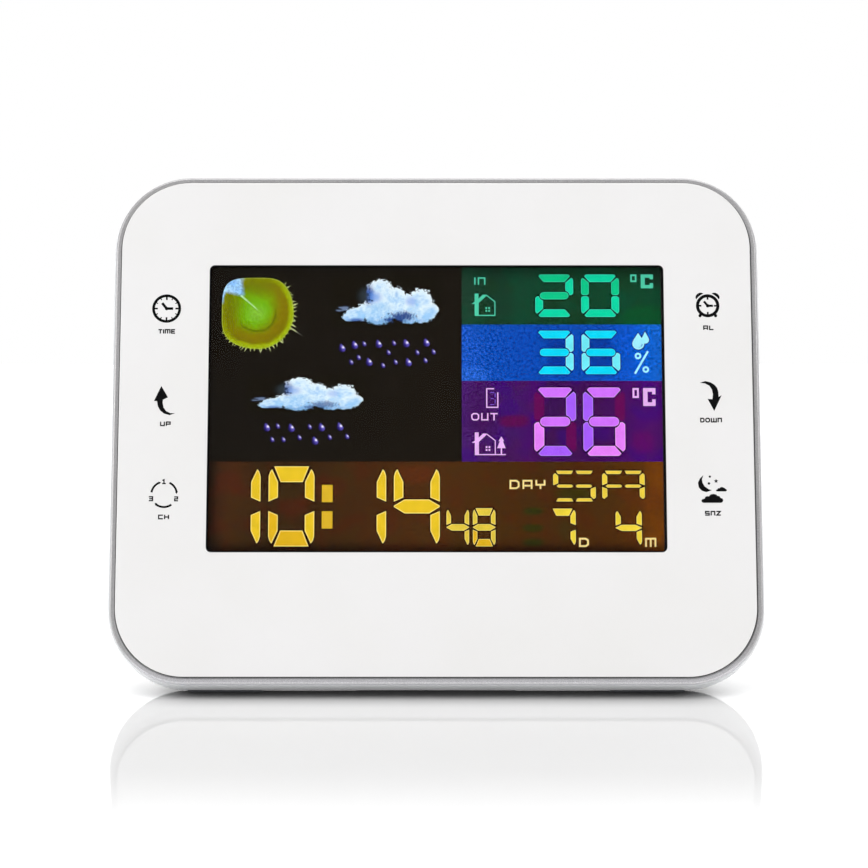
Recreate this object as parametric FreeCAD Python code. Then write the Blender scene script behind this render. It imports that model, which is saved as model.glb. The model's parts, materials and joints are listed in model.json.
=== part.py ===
"""Home weather station: a leaning, free-standing indoor display unit on a fold-out stand leg.

Every sub-part is first built in the housing's own frame and then leaned back onto the table.
Housing frame, in millimetres: X is to the right seen from the front, Y is the depth behind the
frame's front edge, and Z is the height along the front, from the frame's lower edge.
"""
import FreeCAD
import Part
import math
import os

V = FreeCAD.Vector
RIGHT, BACK, UP = V(1, 0, 0), V(0, 1, 0), V(0, 0, 1)

# ---- driving dimensions -------------------------------------------------------------------
LEAN = 13.0                 # degrees that the housing leans back when it stands on its leg
FRAME_W, FRAME_H, FRAME_R = 190.0, 150.4, 22.0      # outline of the silver frame
FRAME_RIM = 1.45            # width of the silver rim seen from the front
PANEL_GAP = 0.3             # shadow gap between panel and rim
PANEL_PROUD, PANEL_T, PANEL_EASE = 1.0, 2.0, 0.25
WINDOW_W, WINDOW_H, WINDOW_R = 134.2, 85.4, 1.5     # clear window of the panel
WINDOW_Z = 80.85            # height of the window's centre
SHELL_OUT = 1.3             # how far the rear cover bulges past the silver frame
SHELL_FRONT, SHELL_WIDE, SHELL_ROUND = 1.5, 10.5, 13.0   # depth of its front edge, widest line, back radius
SHELL_T = 2.0
BACK_Y = SHELL_WIDE + SHELL_ROUND                   # depth of the flat back
ROUND_IN = SHELL_ROUND - SHELL_OUT                  # the flat back starts this far inside the outline
FOOT_PROUD = 0.3            # how far the rubber feet stand below the rear cover

LEG_W, LEG_T = 50.0, 3.0
HINGE_Z = 70.0
PIN_R, KNUCKLE_R = 1.25, 3.0
BEAD_R, BEAD_ANGLE = 1.5, 29.0                      # rubber bead at the leg's tip, and its place
TIP_ANGLE = 32.0                                    # where the leg itself ends on the back radius
RUN_GAP = 0.05              # radial clearance of a running fit

CELL_R, CELL_L, CELL_PITCH = 5.15, 44.5, 11.2       # AAA cells
PLATE_IN, SPRING_ROOM = 0.35, 3.3                   # contact plate's face from the wall; compressed spring
BAY_X0 = -80.5
BAY_X1 = BAY_X0 + CELL_L + SPRING_ROOM + 2 * PLATE_IN
BAY_Z0, BAY_Z1, BAY_FLOOR, BAY_T = 42.6, 77.2, 10.0, 1.4
DOOR_HINGE_Y, DOOR_HINGE_Z, DOOR_KNUCKLE_R, DOOR_PIVOT_R = 22.0, 41.0, 1.4, 0.8

BOARD_Y0, BOARD_Y1 = 9.2, 10.8                      # main board
CASE_SCREWS = [(-74, 19), (74, 19), (-74, 131), (74, 131), (0, 135)]
CARRIER_SCREWS = [(-40, 30.2), (40, 30.2), (-40, 130.8), (40, 130.8)]
BOARD_SCREWS = [(-62, 116), (62, 116), (62, 40), (-18, 40)]
TOUCH_X = 79.2
TOUCH_Z = [111.5, 84.0, 56.5]                       # heights of the three touch keys on each side
KEYHOLE_X, KEYHOLE_Z, KEYHOLE_R, KEYHOLE_SLOT_R, KEYHOLE_RISE = 0.0, 106.0, 3.75, 1.9, 8.0
RESET_X, RESET_Z, RESET_R, RESET_TRAVEL = 54.0, 64.0, 2.0, 0.5
DIMMER_X, DIMMER_Z, DIMMER_TRAVEL = 52.0, 84.0, 4.0
SENSOR_X, VENT_Z, VENT_PITCH, VENT_COUNT = 57.0, 104.0, 4.0, 9
JACK_X, JACK_Z, JACK_BORE_R, JACK_PIN_R = 54.0, 42.0, 2.75, 1.0
JACK_MOUTH_Y, JACK_DEPTH = 22.6, 9.0
FEET_X = 62.0

# ---- places that follow from them ---------------------------------------------------------
LEAN_RAD = math.radians(LEAN)
MID_Z = FRAME_H / 2
PANEL_W, PANEL_H = FRAME_W - 2 * (FRAME_RIM + PANEL_GAP), FRAME_H - 2 * (FRAME_RIM + PANEL_GAP)
PANEL_R = FRAME_R - FRAME_RIM - PANEL_GAP
LIFT = (FOOT_PROUD + SHELL_ROUND + SHELL_WIDE * math.sin(LEAN_RAD)
        - ROUND_IN * math.cos(LEAN_RAD))            # height of the frame's lower edge over the table


def arc_point(radius, angle):
    """A point (y, z) on the rear cover's lower back radius, angle up from the direction of the table."""
    a = math.radians(angle)
    return SHELL_WIDE + radius * math.sin(a), ROUND_IN - radius * math.cos(a)


LEG_OUT_R = SHELL_ROUND - 0.1                       # outer radius of the leg's curved end
LEG_IN_R = LEG_OUT_R - LEG_T
HINGE_Y = SHELL_WIDE + LEG_IN_R                     # the pivot lies in the leg's inner face
BEAD_Y, BEAD_Z = arc_point((LEG_OUT_R + LEG_IN_R) / 2, BEAD_ANGLE)
HINGE_HEIGHT = LIFT + HINGE_Z * math.cos(LEAN_RAD) - HINGE_Y * math.sin(LEAN_RAD)
BEAD_REACH = math.hypot(BEAD_Y - HINGE_Y, BEAD_Z - HINGE_Z)
LEG_OPEN = (math.degrees(math.acos((HINGE_HEIGHT - BEAD_R) / BEAD_REACH))
            + LEAN + math.degrees(math.atan2(HINGE_Y - BEAD_Y, HINGE_Z - BEAD_Z)))

# Foremost point: the eased lower edge of the panel. Rearmost: the curved end of the open leg.
TURN = math.radians(LEG_OPEN - LEAN)
FRONT_REACH = ((PANEL_EASE - PANEL_PROUD) * math.cos(LEAN_RAD) - PANEL_EASE
               + (FRAME_RIM + PANEL_GAP + PANEL_EASE) * math.sin(LEAN_RAD))
BACK_REACH = (HINGE_Y * math.cos(LEAN_RAD) + HINGE_Z * math.sin(LEAN_RAD) + LEG_OUT_R
              + (SHELL_WIDE - HINGE_Y) * math.cos(TURN) - (ROUND_IN - HINGE_Z) * math.sin(TURN))
SHIFT_Y = -(FRONT_REACH + BACK_REACH) / 2           # brings the origin under the middle of the object


# ---- shape helpers ------------------------------------------------------------------------
def box(x0, x1, y0, y1, z0, z1):
    return Part.makeBox(x1 - x0, y1 - y0, z1 - z0, V(x0, y0, z0))


def peg(x, z, radius, y0, y1):
    """A cylinder along the depth."""
    return Part.makeCylinder(radius, y1 - y0, V(x, y0, z), BACK)


def rod(y, z, radius, x0, x1):
    """A cylinder across the width."""
    return Part.makeCylinder(radius, x1 - x0, V(x0, y, z), RIGHT)


def rounded_outline(width, height, radius, y, x=0.0, z=MID_Z):
    """A rounded rectangle facing the front, as a wire that starts at the middle of its lower side."""
    hx, hz, k = width / 2, height / 2, radius * (1 - math.sqrt(0.5))
    corners = [(1, -1), (1, 1), (-1, 1), (-1, -1)]
    edges, last = [], V(x, y, z - hz)
    for i, (sx, sz) in enumerate(corners):
        along_x = V(x + sx * (hx - radius), y, z + sz * hz)
        along_z = V(x + sx * hx, y, z + sz * (hz - radius))
        start, end = (along_x, along_z) if i % 2 == 0 else (along_z, along_x)
        if (start - last).Length > 1e-6:
            edges.append(Part.makeLine(last, start))
        edges.append(Part.Arc(start, V(x + sx * (hx - k), y, z + sz * (hz - k)), end).toShape())
        last = end
    edges.append(Part.makeLine(last, V(x, y, z - hz)))
    return Part.Wire(edges)


def plate(width, height, radius, y0, y1, x=0.0, z=MID_Z):
    """A rounded rectangular plate from depth y0 to y1."""
    return Part.Face(rounded_outline(width, height, radius, y0, x, z)).extrude(V(0, y1 - y0, 0))


def across(points, x0, x1):
    """A solid across the width from a closed (y, z) outline; (y, z, 'via') is a point on an arc."""
    here = [V(x0, p[0], p[1]) for p in points]
    edges, i, n = [], 0, len(points)
    while i < n:
        nxt = (i + 1) % n
        if len(points[nxt]) == 3:
            edges.append(Part.Arc(here[i], here[nxt], here[(i + 2) % n]).toShape())
            i += 2
        else:
            edges.append(Part.makeLine(here[i], here[nxt]))
            i += 1
    return Part.Face(Part.Wire(edges)).extrude(V(x1 - x0, 0, 0))


def coil_spring(x, y, z, radius, wire_r, length, turns, along):
    """A coil of round wire from (x, y, z) along a direction: one arc for each half turn."""
    def at(half_turns):
        angle = half_turns * math.pi
        return V(radius * math.cos(angle), radius * math.sin(angle), length * half_turns / (2 * turns))

    arcs = [Part.Arc(at(i), at(i + 0.5), at(i + 1)).toShape() for i in range(round(2 * turns))]
    ring = Part.Wire(Part.makeCircle(wire_r, at(0), V(0, 1, 0)))
    coil = Part.Wire(arcs).makePipeShell([ring], True, True)
    coil.Placement = FreeCAD.Placement(V(x, y, z), FreeCAD.Rotation(UP, along))
    return coil


def group(shapes):
    return Part.makeCompound(shapes)


def mirrored_pair(shape):
    return group([shape, shape.mirror(V(0, 0, 0), RIGHT)])


# ---- front assembly -----------------------------------------------------------------------
PANEL_Y0, PANEL_Y1 = -PANEL_PROUD, PANEL_T - PANEL_PROUD
REBATE, REBATE_Y0 = 2.0, 0.0                        # ledge round the window, and the depth where it starts


def front_panel():
    """White acrylic sheet with a stepped window opening, its front edge eased."""
    sheet = plate(PANEL_W, PANEL_H, PANEL_R, PANEL_Y0, PANEL_Y1)
    front_edges = [e for e in sheet.Edges if e.BoundBox.YMax < PANEL_Y0 + 0.01]
    sheet = sheet.makeFillet(PANEL_EASE, front_edges)
    opening = plate(WINDOW_W, WINDOW_H, WINDOW_R, PANEL_Y0 - 1, PANEL_Y1 + 1, z=WINDOW_Z)
    rebate = plate(WINDOW_W + 2 * REBATE, WINDOW_H + 2 * REBATE, WINDOW_R + REBATE, REBATE_Y0, PANEL_Y1 + 1,
                   z=WINDOW_Z)
    return sheet.cut([opening, rebate])


def window_lens():
    """Clear acrylic window, flush with the panel, with a flange glued into the rebate from behind."""
    def pane(grow, y0):
        return plate(WINDOW_W + grow, WINDOW_H + grow, WINDOW_R + grow / 2, y0, PANEL_Y1, z=WINDOW_Z)

    lens = pane(-0.1, PANEL_Y0)
    flange = pane(2 * REBATE - 0.2, REBATE_Y0 + 0.05)
    return lens.fuse(flange).removeSplitter()


TAPE_Y0, TAPE_Y1 = PANEL_Y1, PANEL_Y1 + 0.2
FACE_Y0, FACE_Y1 = TAPE_Y1, TAPE_Y1 + 1.5           # face plate of the silver frame
LCD_W, LCD_H = 140.0, 91.0


def panel_tape():
    """Double-sided tape ring that bonds the panel to the frame."""
    ring = plate(PANEL_W - 1.6, PANEL_H - 1.6, PANEL_R - 0.8, TAPE_Y0, TAPE_Y1)
    return ring.cut(plate(PANEL_W - 15, PANEL_H - 15, PANEL_R - 7.5, TAPE_Y0 - 1, TAPE_Y1 + 1))


SKIRT_OUT, SKIRT_IN, SKIRT_Y1 = 2.6, 4.2, 6.5
TOUCH_BOARD_Y0, TOUCH_BOARD_Y1 = 6.6, 7.6
TOUCH_STAKES = [(side * TOUCH_X, (TOUCH_Z[i] + TOUCH_Z[i + 1]) / 2) for side in (-1, 1) for i in (0, 1)]
BOSS_R, BOSS_Y1, PILOT_R = 3.0, 11.5, 1.2


def silver_frame():
    """Silver rim, face plate with the display opening, nesting skirt, bosses and heat stakes in one."""
    rim = plate(FRAME_W, FRAME_H, FRAME_R, 0, SHELL_FRONT)
    front_edges = [e for e in rim.Edges if e.BoundBox.YMax < 0.01]
    rim = rim.makeFillet(0.55, front_edges)
    open_w, open_h = FRAME_W - 2 * FRAME_RIM, FRAME_H - 2 * FRAME_RIM
    rim = rim.cut(plate(open_w, open_h, FRAME_R - FRAME_RIM, -1, FACE_Y0))
    skirt_w, skirt_h, skirt_r = FRAME_W - 2 * SKIRT_OUT, FRAME_H - 2 * SKIRT_OUT, FRAME_R - SKIRT_OUT
    body = plate(skirt_w, skirt_h, skirt_r, FACE_Y0, SKIRT_Y1)
    body = body.cut(plate(FRAME_W - 2 * SKIRT_IN, FRAME_H - 2 * SKIRT_IN, FRAME_R - SKIRT_IN, FACE_Y1, 9))
    frame = rim.fuse(body)
    bosses = [peg(x, z, BOSS_R, FACE_Y1 - 0.5, BOSS_Y1) for x, z in CASE_SCREWS]
    bosses += [peg(x, z, 2.4, FACE_Y1 - 0.5, EAR_Y0) for x, z in CARRIER_SCREWS]
    bosses += [peg(x, z, 1.8, FACE_Y1 - 0.5, TOUCH_BOARD_Y0) for x, z in TOUCH_STAKES]
    bosses += [peg(x, z, 0.9, FACE_Y1, TOUCH_BOARD_Y1 + 0.4) for x, z in TOUCH_STAKES]
    bosses += [peg(x, z, 1.5, TOUCH_BOARD_Y1, TOUCH_BOARD_Y1 + 0.6) for x, z in TOUCH_STAKES]
    frame = frame.fuse(bosses)
    holes = [peg(x, z, PILOT_R, 4.0, BOSS_Y1 + 1) for x, z in CASE_SCREWS]
    holes += [peg(x, z, 0.95, 3.1, EAR_Y0 + 1) for x, z in CARRIER_SCREWS]
    holes += [peg(side * TOUCH_X, z, 4.5, 0, 4) for side in (-1, 1) for z in TOUCH_Z]
    half_w, half_h = LCD_W / 2 + 0.3, LCD_H / 2 + 0.3
    holes.append(box(-half_w, half_w, 0, 4, WINDOW_Z - half_h, WINDOW_Z + half_h))
    return frame.cut(holes).removeSplitter()


# ---- display stack ------------------------------------------------------------------------
LCD_Y0, LCD_Y1, COLOUR_Y1 = FACE_Y0, 3.8, 3.95
FILM_Y1, GUIDE_Y1, CARRIER_FLOOR, CARRIER_Y1 = 4.15, 6.6, 6.8, 8.0
CARRIER_Y0 = FACE_Y1 + 0.1
EAR_Y0, EAR_Y1 = 5.0, 6.4
STACK_Z0, STACK_Z1 = WINDOW_Z - LCD_H / 2, WINDOW_Z + LCD_H / 2
GUIDE_Z0, GUIDE_Z1 = STACK_Z0 + 4.0, STACK_Z1 - 4.4
LED_Z0 = STACK_Z0 + 1.3


def lcd_glass():
    """Liquid crystal cell: the back glass is taller than the front one and carries the contact ledge."""
    back = box(-LCD_W / 2, LCD_W / 2, LCD_Y0 + 1.3, LCD_Y1, STACK_Z0, STACK_Z1)
    front = box(-LCD_W / 2, LCD_W / 2, LCD_Y0, LCD_Y0 + 1.3, STACK_Z0, STACK_Z1 - 2.6)
    return back.fuse(front).removeSplitter()


def display_sheet(y0, y1):
    return box(-LCD_W / 2 + 1, LCD_W / 2 - 1, y0, y1, GUIDE_Z0, GUIDE_Z1)


def colour_film():
    """Printed film that gives each zone of the display its colour."""
    return display_sheet(LCD_Y1, COLOUR_Y1)


def diffuser_film():
    return display_sheet(COLOUR_Y1, FILM_Y1)


def light_guide():
    return display_sheet(FILM_Y1, GUIDE_Y1)


def reflector_sheet():
    return display_sheet(GUIDE_Y1, CARRIER_FLOOR)


def backlight_board():
    return box(-60, 60, FILM_Y1 + 0.1, CARRIER_FLOOR, LED_Z0 - 1.0, LED_Z0)


def backlight_leds():
    half, pitch, count = 1.75, 15.0, 8
    places = [pitch * (i - (count - 1) / 2) for i in range(count)]
    return group([box(x - half, x + half, FILM_Y1 + 0.4, GUIDE_Y1 - 0.1, LED_Z0, GUIDE_Z0 - 0.2)
                  for x in places])


ZEBRA_W, ZEBRA_Z0, ZEBRA_Z1 = 116.0, STACK_Z1 - 3.2, STACK_Z1 - 1.2


def lcd_connector():
    """Striped rubber strip that joins the glass to the main board."""
    return box(-ZEBRA_W / 2, ZEBRA_W / 2, LCD_Y1, BOARD_Y0, ZEBRA_Z0, ZEBRA_Z1)


def lcd_carrier():
    """White tray behind the glass that holds the backlight, with four screw ears and board posts."""
    wall, ear_r, ear_y0 = 1.4, 3.2, EAR_Y0 + 0.05
    half_w, low, high = LCD_W / 2 + 0.2, STACK_Z0 - 0.2, STACK_Z1 + 0.2
    tray = box(-half_w - wall, half_w + wall, CARRIER_Y0, CARRIER_Y1, low - wall, high + wall)
    tray = tray.cut(box(-half_w, half_w, CARRIER_Y0 - 1, CARRIER_FLOOR, low, high))
    ears = []
    for x, z in CARRIER_SCREWS:
        root = high + 1 if z > WINDOW_Z else low - 1
        ears.append(box(x - ear_r, x + ear_r, ear_y0, EAR_Y1, min(z, root), max(z, root)))
        ears.append(peg(x, z, ear_r, ear_y0, EAR_Y1))
    posts = [peg(x, z, 2.4, CARRIER_Y1 - 0.5, BOARD_Y0) for x, z in BOARD_SCREWS]
    tray = tray.fuse(ears + posts)
    cuts = [peg(x, z, 1.2, EAR_Y0 - 1, EAR_Y1 + 1) for x, z in CARRIER_SCREWS]
    cuts += [peg(x, z, 0.95, CARRIER_FLOOR - 1, BOARD_Y0 + 1) for x, z in BOARD_SCREWS]
    slot = ZEBRA_W / 2 + 0.2
    cuts.append(box(-slot, slot, CARRIER_FLOOR - 1, CARRIER_Y1 + 1, ZEBRA_Z0 - 0.2, ZEBRA_Z1 + 0.2))
    return tray.cut(cuts).removeSplitter()


def screw(x, z, head_r, head_h, shank_r, head_y, tip_y):
    """A cross-head screw whose head faces the back: head_y is the head's seat, tip_y its tip."""
    body = peg(x, z, head_r, head_y, head_y + head_h).fuse(peg(x, z, shank_r, tip_y, head_y))
    slot, depth, bite = 0.35, head_h * 0.5, head_r * 0.62
    top = head_y + head_h
    cross = [box(x - bite, x + bite, top - depth, top + 1, z - slot, z + slot),
             box(x - slot, x + slot, top - depth, top + 1, z - bite, z + bite)]
    return body.cut(cross).removeSplitter()


def carrier_screws():
    return group([screw(x, z, 1.9, 1.3, 0.9, EAR_Y1, 3.3) for x, z in CARRIER_SCREWS])


# ---- touch keys ---------------------------------------------------------------------------
def touch_board_right():
    """Narrow board that carries the three key springs of the right side."""
    board = box(TOUCH_X - 6, TOUCH_X + 5, TOUCH_BOARD_Y0, TOUCH_BOARD_Y1, TOUCH_Z[2] - 9, TOUCH_Z[0] + 9)
    return board.cut([peg(x, z, 1.0, TOUCH_BOARD_Y0 - 1, TOUCH_BOARD_Y1 + 1) for x, z in TOUCH_STAKES])


def touch_board_left():
    return touch_board_right().mirror(V(0, 0, 0), RIGHT)


def touch_springs():
    """Six key springs that reach the back of the panel and sense a finger through it."""
    wire_r = 0.3
    length = TOUCH_BOARD_Y0 - TAPE_Y0 - 2 * wire_r - 0.1
    return group([coil_spring(side * TOUCH_X, TAPE_Y0 + wire_r + 0.05, z, 2.6, wire_r, length, 4, BACK)
                  for side in (-1, 1) for z in TOUCH_Z])


def touch_cables():
    """Flat cables that step from the touch boards onto the main board."""
    top = BOARD_Y1 + 0.6
    cable = box(62, 69, BOARD_Y1, top, 100, 108)
    cable = cable.fuse([box(68.4, 69, 8.2, top, 100, 108), box(68.4, 76, 8.2, 8.8, 100, 108),
                        box(75.4, 76, TOUCH_BOARD_Y1, 8.8, 100, 108)]).removeSplitter()
    return mirrored_pair(cable)


# ---- electronics --------------------------------------------------------------------------
def main_board():
    """L-shaped board that leaves room for the battery bay."""
    board = box(-66, 66, BOARD_Y0, BOARD_Y1, 80.5, 126.0)
    board = board.fuse(box(-24, 66, BOARD_Y0, BOARD_Y1, 34, 80.5)).removeSplitter()
    return board.cut([peg(x, z, 1.1, BOARD_Y0 - 1, BOARD_Y1 + 1) for x, z in BOARD_SCREWS])


def board_screws():
    return group([screw(x, z, 1.9, 1.3, 0.9, BOARD_Y1, CARRIER_FLOOR + 0.1) for x, z in BOARD_SCREWS])


def controller_cap():
    """Epoxy cap over the bare controller chip: a shallow dome cut from a ball."""
    radius, height = 8.0, 1.6
    ball_r = (radius ** 2 + height ** 2) / (2 * height)
    ball = Part.makeSphere(ball_r, V(-42, BOARD_Y1 + height - ball_r, 98))
    return ball.common(box(-60, -20, BOARD_Y1, BOARD_Y1 + 3, 80, 116))


def receiver_module():
    """Radio receiver board for the outdoor sensor, with its shielding can and crystal."""
    board = box(20, 44, BOARD_Y1 + 1.0, BOARD_Y1 + 1.8, 94, 108)
    can = box(22, 34, BOARD_Y1 + 1.8, BOARD_Y1 + 4.0, 96, 106)
    crystal = box(36.5, 41.5, BOARD_Y1 + 1.8, BOARD_Y1 + 3.4, 98, 102)
    legs = [box(21 + 3 * i, 21.8 + 3 * i, BOARD_Y1, BOARD_Y1 + 1.0, 94.4, 95.2) for i in range(8)]
    return board.fuse([can, crystal] + legs).removeSplitter()


def receiver_antenna():
    """Short helical aerial that stands off the receiver board."""
    coil = coil_spring(32, BOARD_Y1 + 4.6, 109.6, 2.3, 0.4, 12.0, 8, UP)
    return coil


def capacitors():
    return group([peg(x, z, 2.5, BOARD_Y1, BOARD_Y1 + 5.4) for x, z in ((38, 50), (45.2, 52), (38, 57.2))])


def buzzer():
    body = peg(14, 90, 6.0, BOARD_Y1, BOARD_Y1 + 5.0)
    return body.cut(peg(14, 90, 1.0, BOARD_Y1 + 3.5, BOARD_Y1 + 6))


def air_sensor():
    """Temperature and humidity sensor in its grilled case, under the vents."""
    top, z0, width, height, pitch = BOARD_Y1 + 4.6, 98.0, 10.0, 12.0, 2.4
    case = box(SENSOR_X - width / 2, SENSOR_X + width / 2, BOARD_Y1, top, z0, z0 + height)
    slots = [z0 + 1.6 + pitch * i for i in range(4)]
    return case.cut([box(SENSOR_X - 3.5, SENSOR_X + 3.5, top - 1, top + 1, z, z + pitch / 2)
                     for z in slots])


def power_jack():
    """Upright barrel socket for the mains adaptor."""
    body = box(JACK_X - 4.5, JACK_X + 4.5, BOARD_Y1, 19.0, JACK_Z - 4.5, JACK_Z + 4.5)
    body = body.fuse(peg(JACK_X, JACK_Z, 3.9, 18.0, JACK_MOUTH_Y))
    bore = peg(JACK_X, JACK_Z, JACK_BORE_R, JACK_MOUTH_Y - JACK_DEPTH, JACK_MOUTH_Y + 1)
    return body.cut(bore).removeSplitter()


def jack_pin():
    tip_y = JACK_MOUTH_Y - 1.4
    pin = peg(JACK_X, JACK_Z, JACK_PIN_R, JACK_MOUTH_Y - JACK_DEPTH, tip_y)
    return pin.makeFillet(0.5, [e for e in pin.Edges if e.BoundBox.YMin > tip_y - 0.1])


def reset_switch():
    body = box(RESET_X - 3, RESET_X + 3, BOARD_Y1, BOARD_Y1 + 3.5, RESET_Z - 3, RESET_Z + 3)
    return body.fuse(peg(RESET_X, RESET_Z, 1.7, BOARD_Y1 + 3.0, BOARD_Y1 + 4.6)).removeSplitter()


def dimmer_body():
    """Three-position slide switch; its slot is open towards the back."""
    def block(half_w, half_h, y0, y1):
        return box(DIMMER_X - half_w, DIMMER_X + half_w, y0, y1, DIMMER_Z - half_h, DIMMER_Z + half_h)

    return block(6.5, 3.0, BOARD_Y1, BOARD_Y1 + 5.0).cut(block(5.0, 1.8, BOARD_Y1 + 2.0, BOARD_Y1 + 6))


# ---- rear cover ---------------------------------------------------------------------------
def shell_wall():
    """The cover's side wall: one bulging section swept round the frame's outline."""
    out, back = SHELL_OUT, ROUND_IN
    inner_r, inner_out = SHELL_ROUND - SHELL_T, SHELL_OUT - SHELL_T
    deg45 = math.sqrt(0.5)

    def at(outward, y):
        return V(0, y, -outward)

    edges = [
        Part.Arc(at(0.35, SHELL_FRONT), at(out * 0.76, 4.4), at(out, SHELL_WIDE - 1)).toShape(),
        Part.makeLine(at(out, SHELL_WIDE - 1), at(out, SHELL_WIDE)),
        Part.Arc(at(out, SHELL_WIDE), at(-back + SHELL_ROUND * deg45, SHELL_WIDE + SHELL_ROUND * deg45),
                 at(-back, BACK_Y)).toShape(),
        Part.makeLine(at(-back, BACK_Y), at(-back, BACK_Y - SHELL_T)),
        Part.Arc(at(-back, BACK_Y - SHELL_T), at(-back + inner_r * deg45, SHELL_WIDE + inner_r * deg45),
                 at(inner_out, SHELL_WIDE)).toShape(),
        Part.makeLine(at(inner_out, SHELL_WIDE), at(inner_out, SHELL_WIDE - 1)),
        Part.Arc(at(inner_out, SHELL_WIDE - 1), at(inner_out - 0.55, 4.4),
                 at(-1.75, SHELL_FRONT)).toShape(),
        Part.makeLine(at(-1.75, SHELL_FRONT), at(0.35, SHELL_FRONT)),
    ]
    spine = rounded_outline(FRAME_W, FRAME_H, FRAME_R, SHELL_FRONT)
    return spine.makePipeShell([Part.Wire(edges)], True, True)


FLAT_W, FLAT_H, FLAT_R = FRAME_W - 2 * ROUND_IN, FRAME_H - 2 * ROUND_IN, FRAME_R - ROUND_IN
TUB_T = 1.6
LEG_CLEAR, LEG_HEEL = 0.4, 4.6
NOSE_R = 5.9                # the leg's end above the hinge turns inside this radius


def leg_pocket(grow, half_width, outer_r):
    """The space of the folded leg, grown by the tub's wall or not at all, as one section."""
    floor_r = LEG_IN_R - LEG_CLEAR - grow
    end = BEAD_ANGLE - 11.0 - grow * 5
    mid_angle = (90 + end) / 2
    section = [
        (SHELL_WIDE + floor_r, HINGE_Z), arc_point(floor_r, 90), (*arc_point(floor_r, mid_angle), "via"),
        arc_point(floor_r, end), arc_point(outer_r, end), (*arc_point(outer_r, mid_angle), "via"),
        arc_point(outer_r, 90), (SHELL_WIDE + outer_r, HINGE_Z),
    ]
    return across(section, -half_width, half_width)


def stand_tub():
    half = LEG_W / 2 + LEG_CLEAR + TUB_T
    tub = leg_pocket(TUB_T, half, SHELL_ROUND - 0.6)
    drum = rod(HINGE_Y, HINGE_Z, NOSE_R + TUB_T, -half, half)
    return tub.fuse(drum.common(box(-40, 40, 0, BACK_Y - 0.5, 0, 120)))


def stand_space():
    half = LEG_W / 2 + LEG_CLEAR
    space = leg_pocket(0.0, half, SHELL_ROUND + 3)
    return space.fuse(rod(HINGE_Y, HINGE_Z, NOSE_R, -half, half))


def stand_stop():
    """Sector rib in the hinge drum: the leg's upper end lands on it when the leg is fully open."""
    def polar(radius, angle):
        a = math.radians(angle)
        return HINGE_Y - radius * math.sin(a), HINGE_Z + radius * math.cos(a)

    inner, outer, half_width = 3.5, NOSE_R + 0.6, 12
    first, last = LEG_OPEN + 1.5, LEG_OPEN + 28.0
    middle = (first + last) / 2
    section = [polar(inner, first), polar(outer, first), (*polar(outer, middle), "via"),
               polar(outer, last), polar(inner, last), (*polar(inner, middle), "via")]
    return across(section, -half_width, half_width)


DOOR_X0, DOOR_X1, DOOR_Z1 = -83.0, -28.6, 79.6
DOOR_Y0 = 21.4
SCOOP_R, SCOOP_DEPTH, SCOOP_Z = 12.0, 7.0, 24.0
LEAD_X = [-44.0, -40.0]                             # battery leads


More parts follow.
